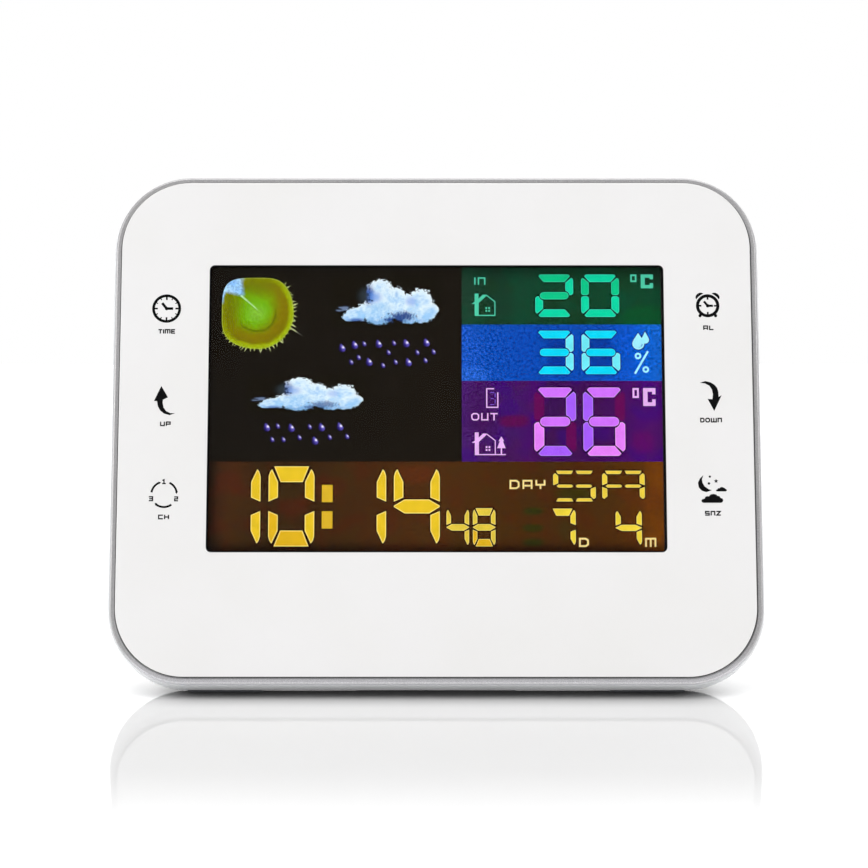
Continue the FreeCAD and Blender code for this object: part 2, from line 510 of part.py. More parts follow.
def rear_cover():
    """White rear shell with the stand recess, battery bay, vents, controls, keyhole and screw towers."""
    shell = shell_wall().fuse(plate(FLAT_W, FLAT_H, FLAT_R, BACK_Y - SHELL_T, BACK_Y))
    tubs = [
        stand_tub(),
        box(BAY_X0 - BAY_T, BAY_X1 + BAY_T, BAY_FLOOR - BAY_T, BACK_Y - 0.5,
            BAY_Z0 - BAY_T, BAY_Z1 + BAY_T),
        box(DOOR_X0 - 1.5, DOOR_X1 + 1.6, DOOR_Y0 - 1.6, BACK_Y - 0.5, DOOR_HINGE_Z - 3.6, DOOR_Z1 + 1.5),
        box(KEYHOLE_X - 7, KEYHOLE_X + 7, 14.0, BACK_Y - 0.5, KEYHOLE_Z - 7, KEYHOLE_Z + KEYHOLE_RISE + 5),
        peg(RESET_X, RESET_Z, RESET_R + 1.6, 19.4, BACK_Y - 0.5),
    ]
    tubs += [peg(x, z, 4.2, BOSS_Y1 + 0.1, BACK_Y - 0.5) for x, z in CASE_SCREWS]
    tubs += [ball.common(box(-50, 50, 0, BACK_Y - 0.5, 0, 50)) for ball in finger_scoops(SCOOP_R + 1.5)]
    shell = shell.fuse(tubs)
    cuts = [
        stand_space(),
        box(BAY_X0, BAY_X1, BAY_FLOOR, BACK_Y + 1, BAY_Z0, BAY_Z1),
        box(DOOR_X0 - 0.2, DOOR_X1 + 0.2, DOOR_Y0 - 0.15, BACK_Y + 1, DOOR_HINGE_Z - 2.2, DOOR_Z1 + 0.2),
        rod(DOOR_HINGE_Y, DOOR_HINGE_Z, DOOR_KNUCKLE_R + 0.2, DOOR_X0 - 0.2, DOOR_X1 + 0.2),
        rod(DOOR_HINGE_Y, DOOR_HINGE_Z, DOOR_PIVOT_R + RUN_GAP, DOOR_X0 - 1.2, DOOR_X1 + 1.2),
        box(-60, -50, BACK_Y - 1.4, BACK_Y + 1, DOOR_Z1 - 1, DOOR_Z1 + 4),
        box(KEYHOLE_X - 5.8, KEYHOLE_X + 5.8, 15.2, BACK_Y - SHELL_T,
            KEYHOLE_Z - 5.8, KEYHOLE_Z + KEYHOLE_RISE + 3.8),
        peg(KEYHOLE_X, KEYHOLE_Z, KEYHOLE_R, BACK_Y - SHELL_T - 1, BACK_Y + 1),
        peg(KEYHOLE_X, KEYHOLE_Z + KEYHOLE_RISE, KEYHOLE_SLOT_R, BACK_Y - SHELL_T - 1, BACK_Y + 1),
        box(KEYHOLE_X - KEYHOLE_SLOT_R, KEYHOLE_X + KEYHOLE_SLOT_R, BACK_Y - SHELL_T - 1, BACK_Y + 1,
            KEYHOLE_Z, KEYHOLE_Z + KEYHOLE_RISE),
        peg(RESET_X, RESET_Z, RESET_R + 0.1, 18, BACK_Y + 1),
        peg(JACK_X, JACK_Z, 4.2, 20, BACK_Y + 1),
        plate(16, 8, 2, BACK_Y - 1.0, BACK_Y + 1, x=DIMMER_X, z=DIMMER_Z),
        box(DIMMER_X - 4.2, DIMMER_X + 4.2, 20, BACK_Y + 1, DIMMER_Z - 1.7, DIMMER_Z + 1.7),
    ]
    cuts += [peg(x, z, 1.6, BOSS_Y1 - 1, 15) for x, z in CASE_SCREWS]
    cuts += [peg(x, z, 3.0, 14.0, BACK_Y + 1) for x, z in CASE_SCREWS]
    cuts += [Part.makeCylinder(0.8, 4, V(x, BAY_FLOOR + 4, BAY_Z1 - 1), UP) for x in LEAD_X]
    vent_x = [SENSOR_X - 1 + VENT_PITCH * (i - (VENT_COUNT - 1) / 2) for i in range(VENT_COUNT)]
    cuts += [plate(1.8, 16, 0.85, BACK_Y - 3, BACK_Y + 1, x=x, z=VENT_Z) for x in vent_x]
    cuts += foot_blocks(0.05, 0.0)
    half = LEG_W / 2 + LEG_CLEAR
    cuts.append(rod(HINGE_Y, HINGE_Z, PIN_R + 0.02, -half - TUB_T - 0.1, half + TUB_T + 0.1))
    cuts += finger_scoops(SCOOP_R)
    shell = shell.cut(cuts)
    return shell.fuse(stand_stop()).removeSplitter()


def finger_scoops(radius):
    """Balls that hollow the back beside the leg's tip, so that a finger can pull the leg out."""
    return [Part.makeSphere(radius, V(side * LEG_W / 2, BACK_Y + SCOOP_R - SCOOP_DEPTH, SCOOP_Z))
            for side in (-1, 1)]


def foot_blocks(gap, proud):
    """The pads' blocks, level with the table when the housing leans; also the pockets they sit in."""
    y, z = arc_point(SHELL_ROUND, LEAN)
    blocks = []
    for side in (-1, 1):
        block = Part.makeBox(22 + 2 * gap, 5 + 2 * gap, 1.2 + proud,
                             V(side * FEET_X - 11 - gap, y - 2.5 - gap, z - proud))
        block.rotate(V(0, y, z), RIGHT, LEAN)
        blocks.append(block)
    return blocks


def base_feet():
    return group(foot_blocks(0.0, FOOT_PROUD))


def case_screws():
    return group([screw(x, z, 2.7, 1.8, 1.1, 14.0, 4.6) for x, z in CASE_SCREWS])


# ---- batteries ----------------------------------------------------------------------------
CELL_Y = BAY_FLOOR + CELL_R + 0.15
CELL_ZS = [(BAY_Z0 + BAY_Z1) / 2 + CELL_PITCH * i for i in (-1, 0, 1)]


def flat_end(i):
    """Where a cell's flat end lies, and the way from it to its raised end: the middle cell is turned."""
    return (BAY_X1 - PLATE_IN - SPRING_ROOM, -1) if i == 1 else (BAY_X0 + PLATE_IN + SPRING_ROOM, 1)


def battery_cells():
    """Three AAA cells whose raised ends touch the contact plates."""
    nub = 0.8
    cells = []
    for i, z in enumerate(CELL_ZS):
        start, way = flat_end(i)
        body = Part.makeCylinder(CELL_R, CELL_L - nub, V(start, CELL_Y, z), RIGHT * way)
        tip = Part.makeCylinder(1.9, nub, V(start + way * (CELL_L - nub), CELL_Y, z), RIGHT * way)
        cells.append(body.fuse(tip).removeSplitter())
    return group(cells)


def battery_springs():
    """Coil contacts that press on the flat ends of the cells."""
    wire_r, coil_r, turns = 0.35, 2.9, 2.5
    length = SPRING_ROOM - 2 * wire_r - 0.1
    springs = []
    for i, z in enumerate(CELL_ZS):
        start, way = flat_end(i)
        seat = start - way * (SPRING_ROOM - wire_r - 0.05)
        springs.append(coil_spring(seat, CELL_Y, z, coil_r, wire_r, length, turns, RIGHT * way))
    return group(springs)


def battery_leads():
    """Two wires from the bay to the main board."""
    wire_r, y, turn_z = 0.65, BAY_FLOOR + 4, 84.0
    leads = []
    for x in LEAD_X:
        rise = Part.makeCylinder(wire_r, turn_z - BAY_Z1, V(x, y, BAY_Z1), UP)
        corner = Part.makeSphere(wire_r, V(x, y, turn_z))
        leads.append(rise.fuse([corner, peg(x, turn_z, wire_r, BOARD_Y1, y)]).removeSplitter())
    return group(leads)


def battery_plates():
    """Nickel contact plates on the two end walls of the bay."""
    plates = []
    for x in (BAY_X0 + 0.05, BAY_X1 - PLATE_IN):
        for z in CELL_ZS:
            plates.append(box(x, x + PLATE_IN - 0.05, BAY_FLOOR + 1.2, BAY_FLOOR + 9.4, z - 4.4, z + 4.4))
    return group(plates)


# ---- moving parts -------------------------------------------------------------------------
def battery_door():
    """Snap door that pivots on two stub pins at its lower edge; the upper edge has the latch tongue."""
    top_y = BACK_Y - 0.05
    leaf = box(DOOR_X0, DOOR_X1, DOOR_Y0, top_y, DOOR_HINGE_Z, DOOR_Z1)
    knuckle = rod(DOOR_HINGE_Y, DOOR_HINGE_Z, DOOR_KNUCKLE_R, DOOR_X0, DOOR_X1)
    stubs = rod(DOOR_HINGE_Y, DOOR_HINGE_Z, DOOR_PIVOT_R, DOOR_X0 - 1.0, DOOR_X1 + 1.0)
    tongue = box(-59, -51, 19.4, DOOR_Y0 + 0.2, BAY_Z1 - 1.8, BAY_Z1 - 0.6)
    ribs = [box(x, x + 1.2, DOOR_Y0 - 0.7, DOOR_Y0 + 0.2, BAY_Z0 + 3, BAY_Z1 - 3) for x in (-72, -40)]
    door = leaf.fuse([knuckle, stubs, tongue] + ribs).removeSplitter()
    grips = [box(x, x + 1.4, top_y - 0.5, top_y + 1, DOOR_Z1 - 9, DOOR_Z1 - 3) for x in range(-62, -49, 3)]
    return door.cut(grips)


def opened(shape):
    """Turns a piece of the folded leg to its open, standing position."""
    turned = shape.copy()
    turned.rotate(V(0, HINGE_Y, HINGE_Z), RIGHT, LEG_OPEN)
    return turned


def folded_leg():
    """Leg that follows its recess: straight from the knuckle, then curved round the lower edge."""
    half = LEG_W / 2
    mid_angle = (90 + TIP_ANGLE) / 2
    section = [
        (HINGE_Y, HINGE_Z + LEG_HEEL), arc_point(LEG_IN_R, 90), (*arc_point(LEG_IN_R, mid_angle), "via"),
        arc_point(LEG_IN_R, TIP_ANGLE), arc_point(LEG_OUT_R, TIP_ANGLE),
        (*arc_point(LEG_OUT_R, mid_angle), "via"), arc_point(LEG_OUT_R, 90),
        (HINGE_Y + LEG_T, HINGE_Z + LEG_HEEL),
    ]
    leg = across(section, -half, half)
    leg = leg.fuse(rod(HINGE_Y, HINGE_Z, KNUCKLE_R, -half, half))
    leg = leg.cut([
        rod(HINGE_Y, HINGE_Z, PIN_R + RUN_GAP, -half - 1, half + 1),
        rod(BEAD_Y, BEAD_Z, BEAD_R, -half + 4, half - 4),
        plate(LEG_W - 14, 36, 4, HINGE_Y + LEG_T - 0.8, HINGE_Y + LEG_T + 1, z=40),
    ])
    return leg.removeSplitter()


def stand_leg():
    return opened(folded_leg())


def stand_foot():
    """Rubber bead let into the leg's tip."""
    half = LEG_W / 2 - 4
    return opened(rod(BEAD_Y, BEAD_Z, BEAD_R, -half, half))


def stand_pin():
    half = LEG_W / 2 + LEG_CLEAR + TUB_T
    return rod(HINGE_Y, HINGE_Z, PIN_R, -half, half)


def reset_button():
    """Plunger with a retaining collar behind the cover."""
    stem = peg(RESET_X, RESET_Z, RESET_R, BOARD_Y1 + 4.6 + RESET_TRAVEL + 0.1, BACK_Y - 0.4)
    collar = peg(RESET_X, RESET_Z, RESET_R + 1.0, 17.6, 19.2)
    return stem.fuse(collar).removeSplitter()


def dimmer_knob():
    """Slider of the backlight switch, shown at one end of its travel."""
    x = DIMMER_X - DIMMER_TRAVEL / 2
    stem = box(x - 1.2, x + 1.2, BOARD_Y1 + 2.2, 20.4, DIMMER_Z - 1.5, DIMMER_Z + 1.5)
    flange = box(x - 4.4, x + 4.4, 20.3, 21.3, DIMMER_Z - 2.6, DIMMER_Z + 2.6)
    thumb = box(x - 2.0, x + 2.0, 21.2, BACK_Y - 0.1, DIMMER_Z - 1.5, DIMMER_Z + 1.5)
    knob = stem.fuse([flange, thumb]).removeSplitter()
    grooves = [x - 1.5 + 1.2 * i for i in range(3)]
    return knob.cut([box(g, g + 0.6, BACK_Y - 0.5, BACK_Y, DIMMER_Z - 2, DIMMER_Z + 2) for g in grooves])


PARTS = [
    front_panel, window_lens, panel_tape, silver_frame, lcd_glass, colour_film, diffuser_film, light_guide,
    reflector_sheet, backlight_board, backlight_leds, lcd_connector, lcd_carrier, carrier_screws,
    touch_board_left, touch_board_right, touch_springs, touch_cables, main_board, board_screws,
    controller_cap, receiver_module, receiver_antenna, capacitors, buzzer, air_sensor, power_jack, jack_pin,
    reset_switch, dimmer_body, rear_cover, case_screws, base_feet, battery_cells, battery_springs,
    battery_leads, battery_plates, battery_door, stand_leg, stand_foot, stand_pin, reset_button,
    dimmer_knob,
]


def leaned(shape):
    """Moves a piece from the housing's frame to the table's: leaned back, lifted and centred."""
    placed = shape.copy()
    placed.rotate(V(0, 0, 0), RIGHT, -LEAN)
    placed.translate(V(0, SHIFT_Y, LIFT))
    return placed


def main():
    os.makedirs("parts", exist_ok=True)
    for make in PARTS:
        shape = leaned(make())
        shape.exportStep(f"parts/{make.__name__}.step")
    print(f"leg opens {LEG_OPEN:.3f} degrees, frame edge is {LIFT:.3f} mm up, shift {SHIFT_Y:.3f} mm")


main()
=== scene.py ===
import json
import math
import random

import bmesh
import bpy
from mathutils import Matrix, Vector


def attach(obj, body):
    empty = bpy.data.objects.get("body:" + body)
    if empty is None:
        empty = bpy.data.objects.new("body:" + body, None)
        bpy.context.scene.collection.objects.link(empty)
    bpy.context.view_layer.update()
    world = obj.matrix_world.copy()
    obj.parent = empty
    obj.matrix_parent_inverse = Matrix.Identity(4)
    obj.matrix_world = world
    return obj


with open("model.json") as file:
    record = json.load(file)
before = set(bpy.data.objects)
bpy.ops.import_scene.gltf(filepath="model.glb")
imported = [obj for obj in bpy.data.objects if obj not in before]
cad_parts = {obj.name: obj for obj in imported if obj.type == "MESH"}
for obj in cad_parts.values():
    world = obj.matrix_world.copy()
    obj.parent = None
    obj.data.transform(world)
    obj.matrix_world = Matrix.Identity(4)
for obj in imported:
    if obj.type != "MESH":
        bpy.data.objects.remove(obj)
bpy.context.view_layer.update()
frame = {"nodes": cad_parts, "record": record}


# ---- The front's own directions -----------------------------------------------------------
# The station leans back on its stand leg, so its front is not upright. The wall keyhole's axis
# points straight out of the back, and heights and depths on the front follow from it.
MM = 0.001
RIGHT = Vector((1, 0, 0))
BACK = Vector(next(m for m in frame["record"]["mounts"] if m["name"] == "wall_keyhole")["axis"])
UP = RIGHT.cross(BACK)


def reach(node, direction):
    """How far a part reaches along a direction, in metres from the origin."""
    return max(v.co.dot(direction) for v in frame["nodes"][node].data.vertices)


window_height = (reach("window_lens", UP) - reach("window_lens", -UP)) / 2
panel_face = reach("front_panel", -BACK)
# Turns millimetres to the right, up and towards the viewer, from the window's centre on the panel's
# face, into metres in the station's own frame.
FRONT = (Matrix.Translation(UP * window_height - BACK * panel_face)
         @ Matrix((RIGHT, UP, -BACK)).transposed().to_4x4() @ Matrix.Scale(MM, 4))


# ---- Camera -------------------------------------------------------------------------------
# A long lens a little above the station's middle, looking slightly down.
CAMERA_PLACE = (0.0, -0.6868, 0.1280)
CAMERA_LENS = 95.64
LOOK_DOWN, LOOK_LEFT = 4.447, 0.055

camera = bpy.data.objects.new("camera", bpy.data.cameras.new("camera"))
camera.data.sensor_width = 36
camera.data.lens = CAMERA_LENS
camera.location = CAMERA_PLACE
camera.rotation_euler = (math.radians(90 - LOOK_DOWN), 0, math.radians(LOOK_LEFT))
bpy.context.scene.collection.objects.link(camera)
bpy.context.scene.camera = camera
bpy.context.scene.view_settings.view_transform = "Standard"


# ---- Table and studio light ---------------------------------------------------------------
# A polished white table top in a white studio: soft shadows under the station, cast by the lamps and
# added to by painted shade near it, and a mirror image that fades away towards the viewer.
def srgb(red, green, blue):
    """A colour from screen values of 0 to 255."""
    def linear(value):
        value /= 255
        return value / 12.92 if value <= 0.04045 else ((value + 0.055) / 1.055) ** 2.4
    return (linear(red), linear(green), linear(blue), 1)


class Value:
    """What a shader socket gives. Sums and products of numbers become Math nodes."""

    def __init__(self, paint, socket):
        self.paint, self.socket = paint, socket

    def math(self, operation, *values):
        return self.paint.node("Math", {"operation": operation}, dict(enumerate(values)))

    def __add__(self, other):
        return self.math("ADD", self, other)

    def __sub__(self, other):
        return self.math("SUBTRACT", self, other)

    def __rsub__(self, other):
        return self.math("SUBTRACT", other, self)

    def __mul__(self, other):
        return self.math("MULTIPLY", self, other)

    def __truediv__(self, other):
        return self.math("DIVIDE", self, other)

    def __pow__(self, other):
        return self.math("POWER", self, other)

    __radd__, __rmul__ = __add__, __mul__

    def least(self, other):
        return self.math("MINIMUM", self, other)

    def most(self, other):
        return self.math("MAXIMUM", self, other)

    def size(self):
        return self.math("ABSOLUTE", self)

    def repeat(self, length):
        """Starts again at 0 after each length."""
        return self.math("FLOORED_MODULO", self, length)

    def rise(self, start, end):
        """0 up to start, 1 from end on, and an even curve between."""
        return self.paint.node("MapRange", {"interpolation_type": "SMOOTHSTEP"},
                               {"Value": self, "From Min": start, "From Max": end})


class Paint:
    """A node tree being built, of a new material with this name or of a world: node() adds any node
    and returns what one of its outputs gives."""

    def __init__(self, owner):
        self.owner = bpy.data.materials.new(owner) if isinstance(owner, str) else owner
        self.owner.use_nodes = True
        self.tree = self.owner.node_tree
        self.tree.nodes.clear()

    def node(self, kind, settings=(), values=(), out=0):
        node = self.tree.nodes.new("ShaderNode" + kind)
        settings = dict(settings)
        stops = settings.pop("stops", ())
        for name, setting in settings.items():
            setattr(node, name, setting)
        for i, (place, colour) in enumerate(stops):
            stop = node.color_ramp.elements[i] if i < 2 else node.color_ramp.elements.new(place)
            stop.position, stop.color = place, colour
        for name, value in dict(values).items():
            if isinstance(value, Value):
                self.tree.links.new(value.socket, node.inputs[name])
            else:
                node.inputs[name].default_value = value
        return Value(self, node.outputs[out]) if node.outputs else None

    def where(self):
        """Metres in the station's own frame."""
        return self.node("TexCoord", out="Object")

    def noise(self, scale, detail=2.0, place=None, roughness=0.5):
        """Soft random values from 0 to 1; scale is how many swings fit in one unit of place."""
        return self.node("TexNoise", values={"Vector": place or self.where(), "Scale": scale,
                                             "Detail": detail, "Roughness": roughness})

    def mix(self, share, first, second, how="MIX"):
        """A colour between two colours."""
        return self.node("Mix", {"data_type": "RGBA", "blend_type": how},
                         {0: share, 6: first, 7: second}, out=2)

    def tone(self, colour, tone):
        """The colour made lighter or darker by a number."""
        grey = self.node("CombineColor", values={0: tone, 1: tone, 2: tone})
        return self.mix(1.0, colour, grey, "MULTIPLY")

    def along(self, direction):
        """Metres from the station's origin along a direction."""
        return self.node("VectorMath", {"operation": "DOT_PRODUCT"}, {0: self.where(), 1: direction}, out=1)

    def bump(self, height, depth):
        """A relief of this height in metres."""
        return self.node("Bump", values={"Height": height, "Distance": depth})

    def surface(self, **sockets):
        """Ends the tree with one Principled shader; names of sockets are written with underscores."""
        values = {name.replace("_", " "): value for name, value in sockets.items()}
        return self.end(self.node("BsdfPrincipled", values=values))

    def end(self, shader, kind="Material"):
        self.node("Output" + kind, values={"Surface": shader})
        return self.owner


TABLE_SIZE = 4.0
TABLE_WHITE = 0.77
MIRROR = 0.14               # share of the mirror image where it is strongest
MIRROR_NEAR, MIRROR_FAR = -0.115, -0.200    # where the mirror image starts to fade and where it ends
MIRROR_BACK = 0.10, 0.35                    # the same behind the station
MIRROR_SIDE = 0.14, 0.21                    # and beside it
HORIZON = 0.35, 0.90                        # the table turns plain white at this distance
# Plain white seen on top of the lit table: over the mirror image, beside it, and far behind.
LIFT_IMAGE, LIFT_CLEAR, LIFT_FAR = 0.01, 0.26, 0.70
SHADE_REACH, SHADE_SHARE = 0.015, 0.8       # how far from the station the painted shade reaches, and how strong it is
SHADE_SIDE = 0.068, 0.092                   # the painted shade fades out towards the rounded corners

grid = bmesh.new()
bmesh.ops.create_grid(grid, x_segments=8, y_segments=8, size=TABLE_SIZE / 2)
table = bpy.data.objects.new("table_top", bpy.data.meshes.new("table_top"))
grid.to_mesh(table.data)
grid.free()
bpy.context.scene.collection.objects.link(table)

white = Paint("table_polish")
across = white.node("SeparateXYZ", values={0: white.where()}, out=0)
depth = white.node("SeparateXYZ", values={0: white.where()}, out=1)
streaks = white.noise(2.5, detail=3)
mirrored_zone = (depth.rise(MIRROR_FAR, MIRROR_NEAR) * (1 - depth.rise(*MIRROR_BACK))
                 * (1 - across.size().rise(*MIRROR_SIDE)))
distant = ((across * across + depth * depth) ** 0.5).rise(*HORIZON)
# Painted shade: an occlusion node darkens the table's colour, its mirror image and its white lift close to
# the station.
occluded = 1 - white.node("AmbientOcclusion", {"samples": 6}, {"Distance": SHADE_REACH}, out="AO")
shade_tone = 1 - occluded * SHADE_SHARE * (1 - across.size().rise(*SHADE_SIDE))
matt = white.node("BsdfDiffuse", values={"Color": white.tone((TABLE_WHITE,) * 3 + (1,), shade_tone)})
gloss = white.node("BsdfPrincipled", values={
    "Base Color": white.tone((1, 1, 1, 1), shade_tone), "Metallic": 1.0, "Roughness": streaks * 0.02 + 0.03})
polished = white.node("MixShader", values={0: mirrored_zone * MIRROR, 1: matt, 2: gloss})
seen = white.node("LightPath", out="Is Camera Ray")
in_gloss = (white.node("LightPath", out="Is Glossy Ray")
            + white.node("LightPath", out="Is Transmission Ray")).least(1)
near_lift = LIFT_CLEAR - mirrored_zone * (LIFT_CLEAR - LIFT_IMAGE)
far_lift = depth.rise(*MIRROR_BACK) * (LIFT_FAR - LIFT_CLEAR) + distant * LIFT_FAR
lift = white.node("Emission", values={
    "Strength": seen * (near_lift + far_lift) * shade_tone + in_gloss * LIFT_FAR})
table.data.materials.append(white.end(white.node("AddShader", values={0: polished, 1: lift})))

studio = bpy.data.worlds.new("studio")
bpy.context.scene.world = studio
AIR_LIGHT = 0.26            # light from the white room; what the camera sees of it is full white
air = Paint(studio)
shown = (air.node("LightPath", out="Is Camera Ray") + air.node("LightPath", out="Is Glossy Ray")
         + air.node("LightPath", out="Is Transmission Ray")).least(1)
brightness = shown * (1 - AIR_LIGHT) + AIR_LIGHT
air.end(air.node("Background", values={"Color": (1, 1, 1, 1), "Strength": brightness}), "World")


def softbox(name, place, size, power, aim=(0, 0, 0.06)):
    """A lamp with this width and height that looks at a point."""
    lamp = bpy.data.objects.new(name, bpy.data.lights.new(name, "AREA"))
    lamp.data.shape = "RECTANGLE"
    lamp.data.size, lamp.data.size_y = size
    lamp.data.energy = power
    lamp.visible_camera = False
    lamp.location = place
    lamp.rotation_euler = (Vector(aim) - Vector(place)).to_track_quat("-Z", "Y").to_euler()
    bpy.context.scene.collection.objects.link(lamp)


softbox("lamp_above", (0.0, -0.3, 1.5), (1.6, 1.6), 17)
softbox("lamp_left", (-1.3, -1.1, 0.9), (1.0, 1.0), 9.4)
softbox("lamp_right", (1.3, -1.0, 0.8), (1.0, 1.0), 7.8)
softbox("lamp_behind", (0.3, 1.4, 1.2), (1.2, 1.2), 6)
softbox("lamp_low_left", (-0.95, -0.05, 0.17), (0.5, 0.3), 1.4)
softbox("lamp_horizon", (0.0, 1.3, 0.28), (1.4, 0.34), 3.4, aim=(0, 0, 0.28))


def finish_node(name, material):
    """Gives a CAD part its material."""
    mesh = frame["nodes"][name].data
    if not mesh.materials:
        mesh.materials.append(material)
    for i in range(len(mesh.materials)):
        mesh.materials[i] = material


# ---- Front panel --------------------------------------------------------------------------
# One sheet of clear acrylic, printed white from behind and polished, stuck to the silver frame with
# tape. Its edge and side wall are painted dark, as painted shade for the shadow in the gap round it,
# most at the bottom and the right.
PANEL_WHITE = srgb(236, 235, 235)
PANEL_TONE = srgb(234, 233, 232)
GAP_SHADE_COLOUR = srgb(30, 30, 32)       # painted shade of the gap round the panel, on the sheet's edge and side wall
GAP_SHADE_DEPTH = 0.0002, 0.0004        # how far behind the face that painted shade begins and is full
PANEL_CORNER = 0.02025              # the sheet's corner radius
SHADED_RIM = -0.00018, -0.00012       # where the painted shade line on the face begins and is full, from the sheet's edge
SHADE_LEFT, SHADE_UP = 0.00010, 0.00020     # small offset of the painted shade line, so that it is widest at the bottom and the right

gloss_white = Paint("panel_gloss")
waves = gloss_white.noise(28, detail=1)
dust = gloss_white.noise(2600, detail=2)
sheet_white = gloss_white.mix(waves.rise(0.35, 0.75), PANEL_WHITE, PANEL_TONE)
behind_face = gloss_white.along(BACK) + panel_face
panel_height = (reach("front_panel", UP) - reach("front_panel", -UP)) / 2
aside = (gloss_white.along(RIGHT) + SHADE_LEFT).size()
above = (gloss_white.along(UP) - (panel_height + SHADE_UP)).size()
past_side = (aside - (reach("front_panel", RIGHT) - PANEL_CORNER)).most(0)
past_top = (above - (reach("front_panel", UP) - panel_height - PANEL_CORNER)).most(0)
past_edge = (past_side * past_side + past_top * past_top) ** 0.5 - PANEL_CORNER
# Painted shade: the gap's shadow darkens the sheet's edge and its side wall; bare is that mask.
bare = past_edge.rise(*SHADED_RIM).most(behind_face.rise(*GAP_SHADE_DEPTH))
finish_node("front_panel", gloss_white.surface(
    Base_Color=gloss_white.mix(bare, sheet_white, GAP_SHADE_COLOUR),
    Roughness=dust * 0.04 + 0.07,
    Coat_Weight=0.3, Coat_Roughness=0.03,
    Normal=gloss_white.bump(waves, 0.00002)))


def moulded(name, colour, rough, grain=2200, depth=0.00002, patch=0.06):
    """Moulded plastic or rubber: a fine tool grain, slightly uneven shine and slow changes of tone."""
    paint = Paint(name)
    slow = paint.noise(45, detail=3)
    fine = paint.noise(grain, detail=2, roughness=0.6)
    dark = tuple(part * (1 - patch) for part in colour[:3]) + (1,)
    return paint.surface(
        Base_Color=paint.mix(slow.rise(0.3, 0.7) * 0.8 + fine * 0.2, colour, dark),
        Roughness=slow * 0.1 + fine * 0.08 + (rough - 0.09),
        Normal=paint.bump(fine, depth))


# ---- Tape behind the panel ----------------------------------------------------------------
# Black foam tape, 0.2 mm thick, in one ring round the display opening.
finish_node("panel_tape", moulded("tape_foam", srgb(26, 26, 28), 0.8, grain=4000, depth=0.00006))


# ---- Silver frame -------------------------------------------------------------------------
# The frame that carries the panel is moulded in ABS and sprayed silver. Fine metal flakes show in
# the narrow rim that is left visible round the panel. Along the bottom the silver is painted lighter,
# as painted light from below.
SILVER, SILVER_FLAKE = srgb(145, 144, 145), srgb(168, 167, 168)
SILVER_LIT_BELOW, SILVER_LIT_BELOW_FLAKE = srgb(168, 167, 170), srgb(194, 193, 196)    # painted light: lighter along the bottom
LIT_BELOW_FROM, LIT_BELOW_TO = 0.012, 0.003     # above the frame's lowest point: where the painted light begins and is full
SILVER_INSIDE = srgb(34, 34, 36)    # the rim's inner wall, in the shadow of the panel
PANEL_PROUD, GAP_FADE = 0.001, 0.0004       # how far the panel stands out of the rim; depth to full shadow

spray = Paint("silver_spray")
flakes = spray.noise(5200, detail=1, roughness=0.7)
cloudy = spray.noise(70, detail=2)
from_middle = spray.node("VectorMath", {"operation": "SUBTRACT"}, {0: spray.where(), 1: UP * window_height})
outward = spray.node("VectorMath", {"operation": "DOT_PRODUCT"},
                     {0: spray.node("NewGeometry", out="Normal"), 1: from_middle}, out=1)
in_gap = ((spray.along(BACK) + (panel_face - PANEL_PROUD)).rise(0.0, GAP_FADE)
          * (1 - outward.rise(0.0, 0.02)))
lowest = reach("silver_frame", -UP)
# Painted light: the silver turns lighter towards the bottom of the frame.
low = spray.along(-UP).rise(lowest - LIT_BELOW_FROM, lowest - LIT_BELOW_TO)
sprayed = spray.mix(flakes.rise(0.42, 0.62), spray.mix(low, SILVER, SILVER_LIT_BELOW),
                    spray.mix(low, SILVER_FLAKE, SILVER_LIT_BELOW_FLAKE))
finish_node("silver_frame", spray.surface(
    Base_Color=spray.mix(in_gap, sprayed, SILVER_INSIDE),
    Metallic=0.85 - in_gap * 0.85, Roughness=cloudy * 0.08 + flakes * 0.06 + 0.24,
    Normal=spray.bump(flakes, 0.000006)))


# ---- Window -------------------------------------------------------------------------------
# A clear acrylic pane flush with the panel, glued in from behind. A narrow black line printed round
# its edge hides the joint.
WINDOW_HAZE = 0.08                  # share of what lies behind that the pane takes away
EDGE_WIDTH, EDGE_LAP = 0.34, 0.2    # the line's width, and how far it laps over the panel at the right

pane = Paint("window_clear")
smears = pane.noise(60, detail=3)
finish_node("window_lens", pane.surface(
    Base_Color=(0.004, 0.004, 0.004, 1), Alpha=WINDOW_HAZE, Roughness=smears * 0.05 + 0.03))


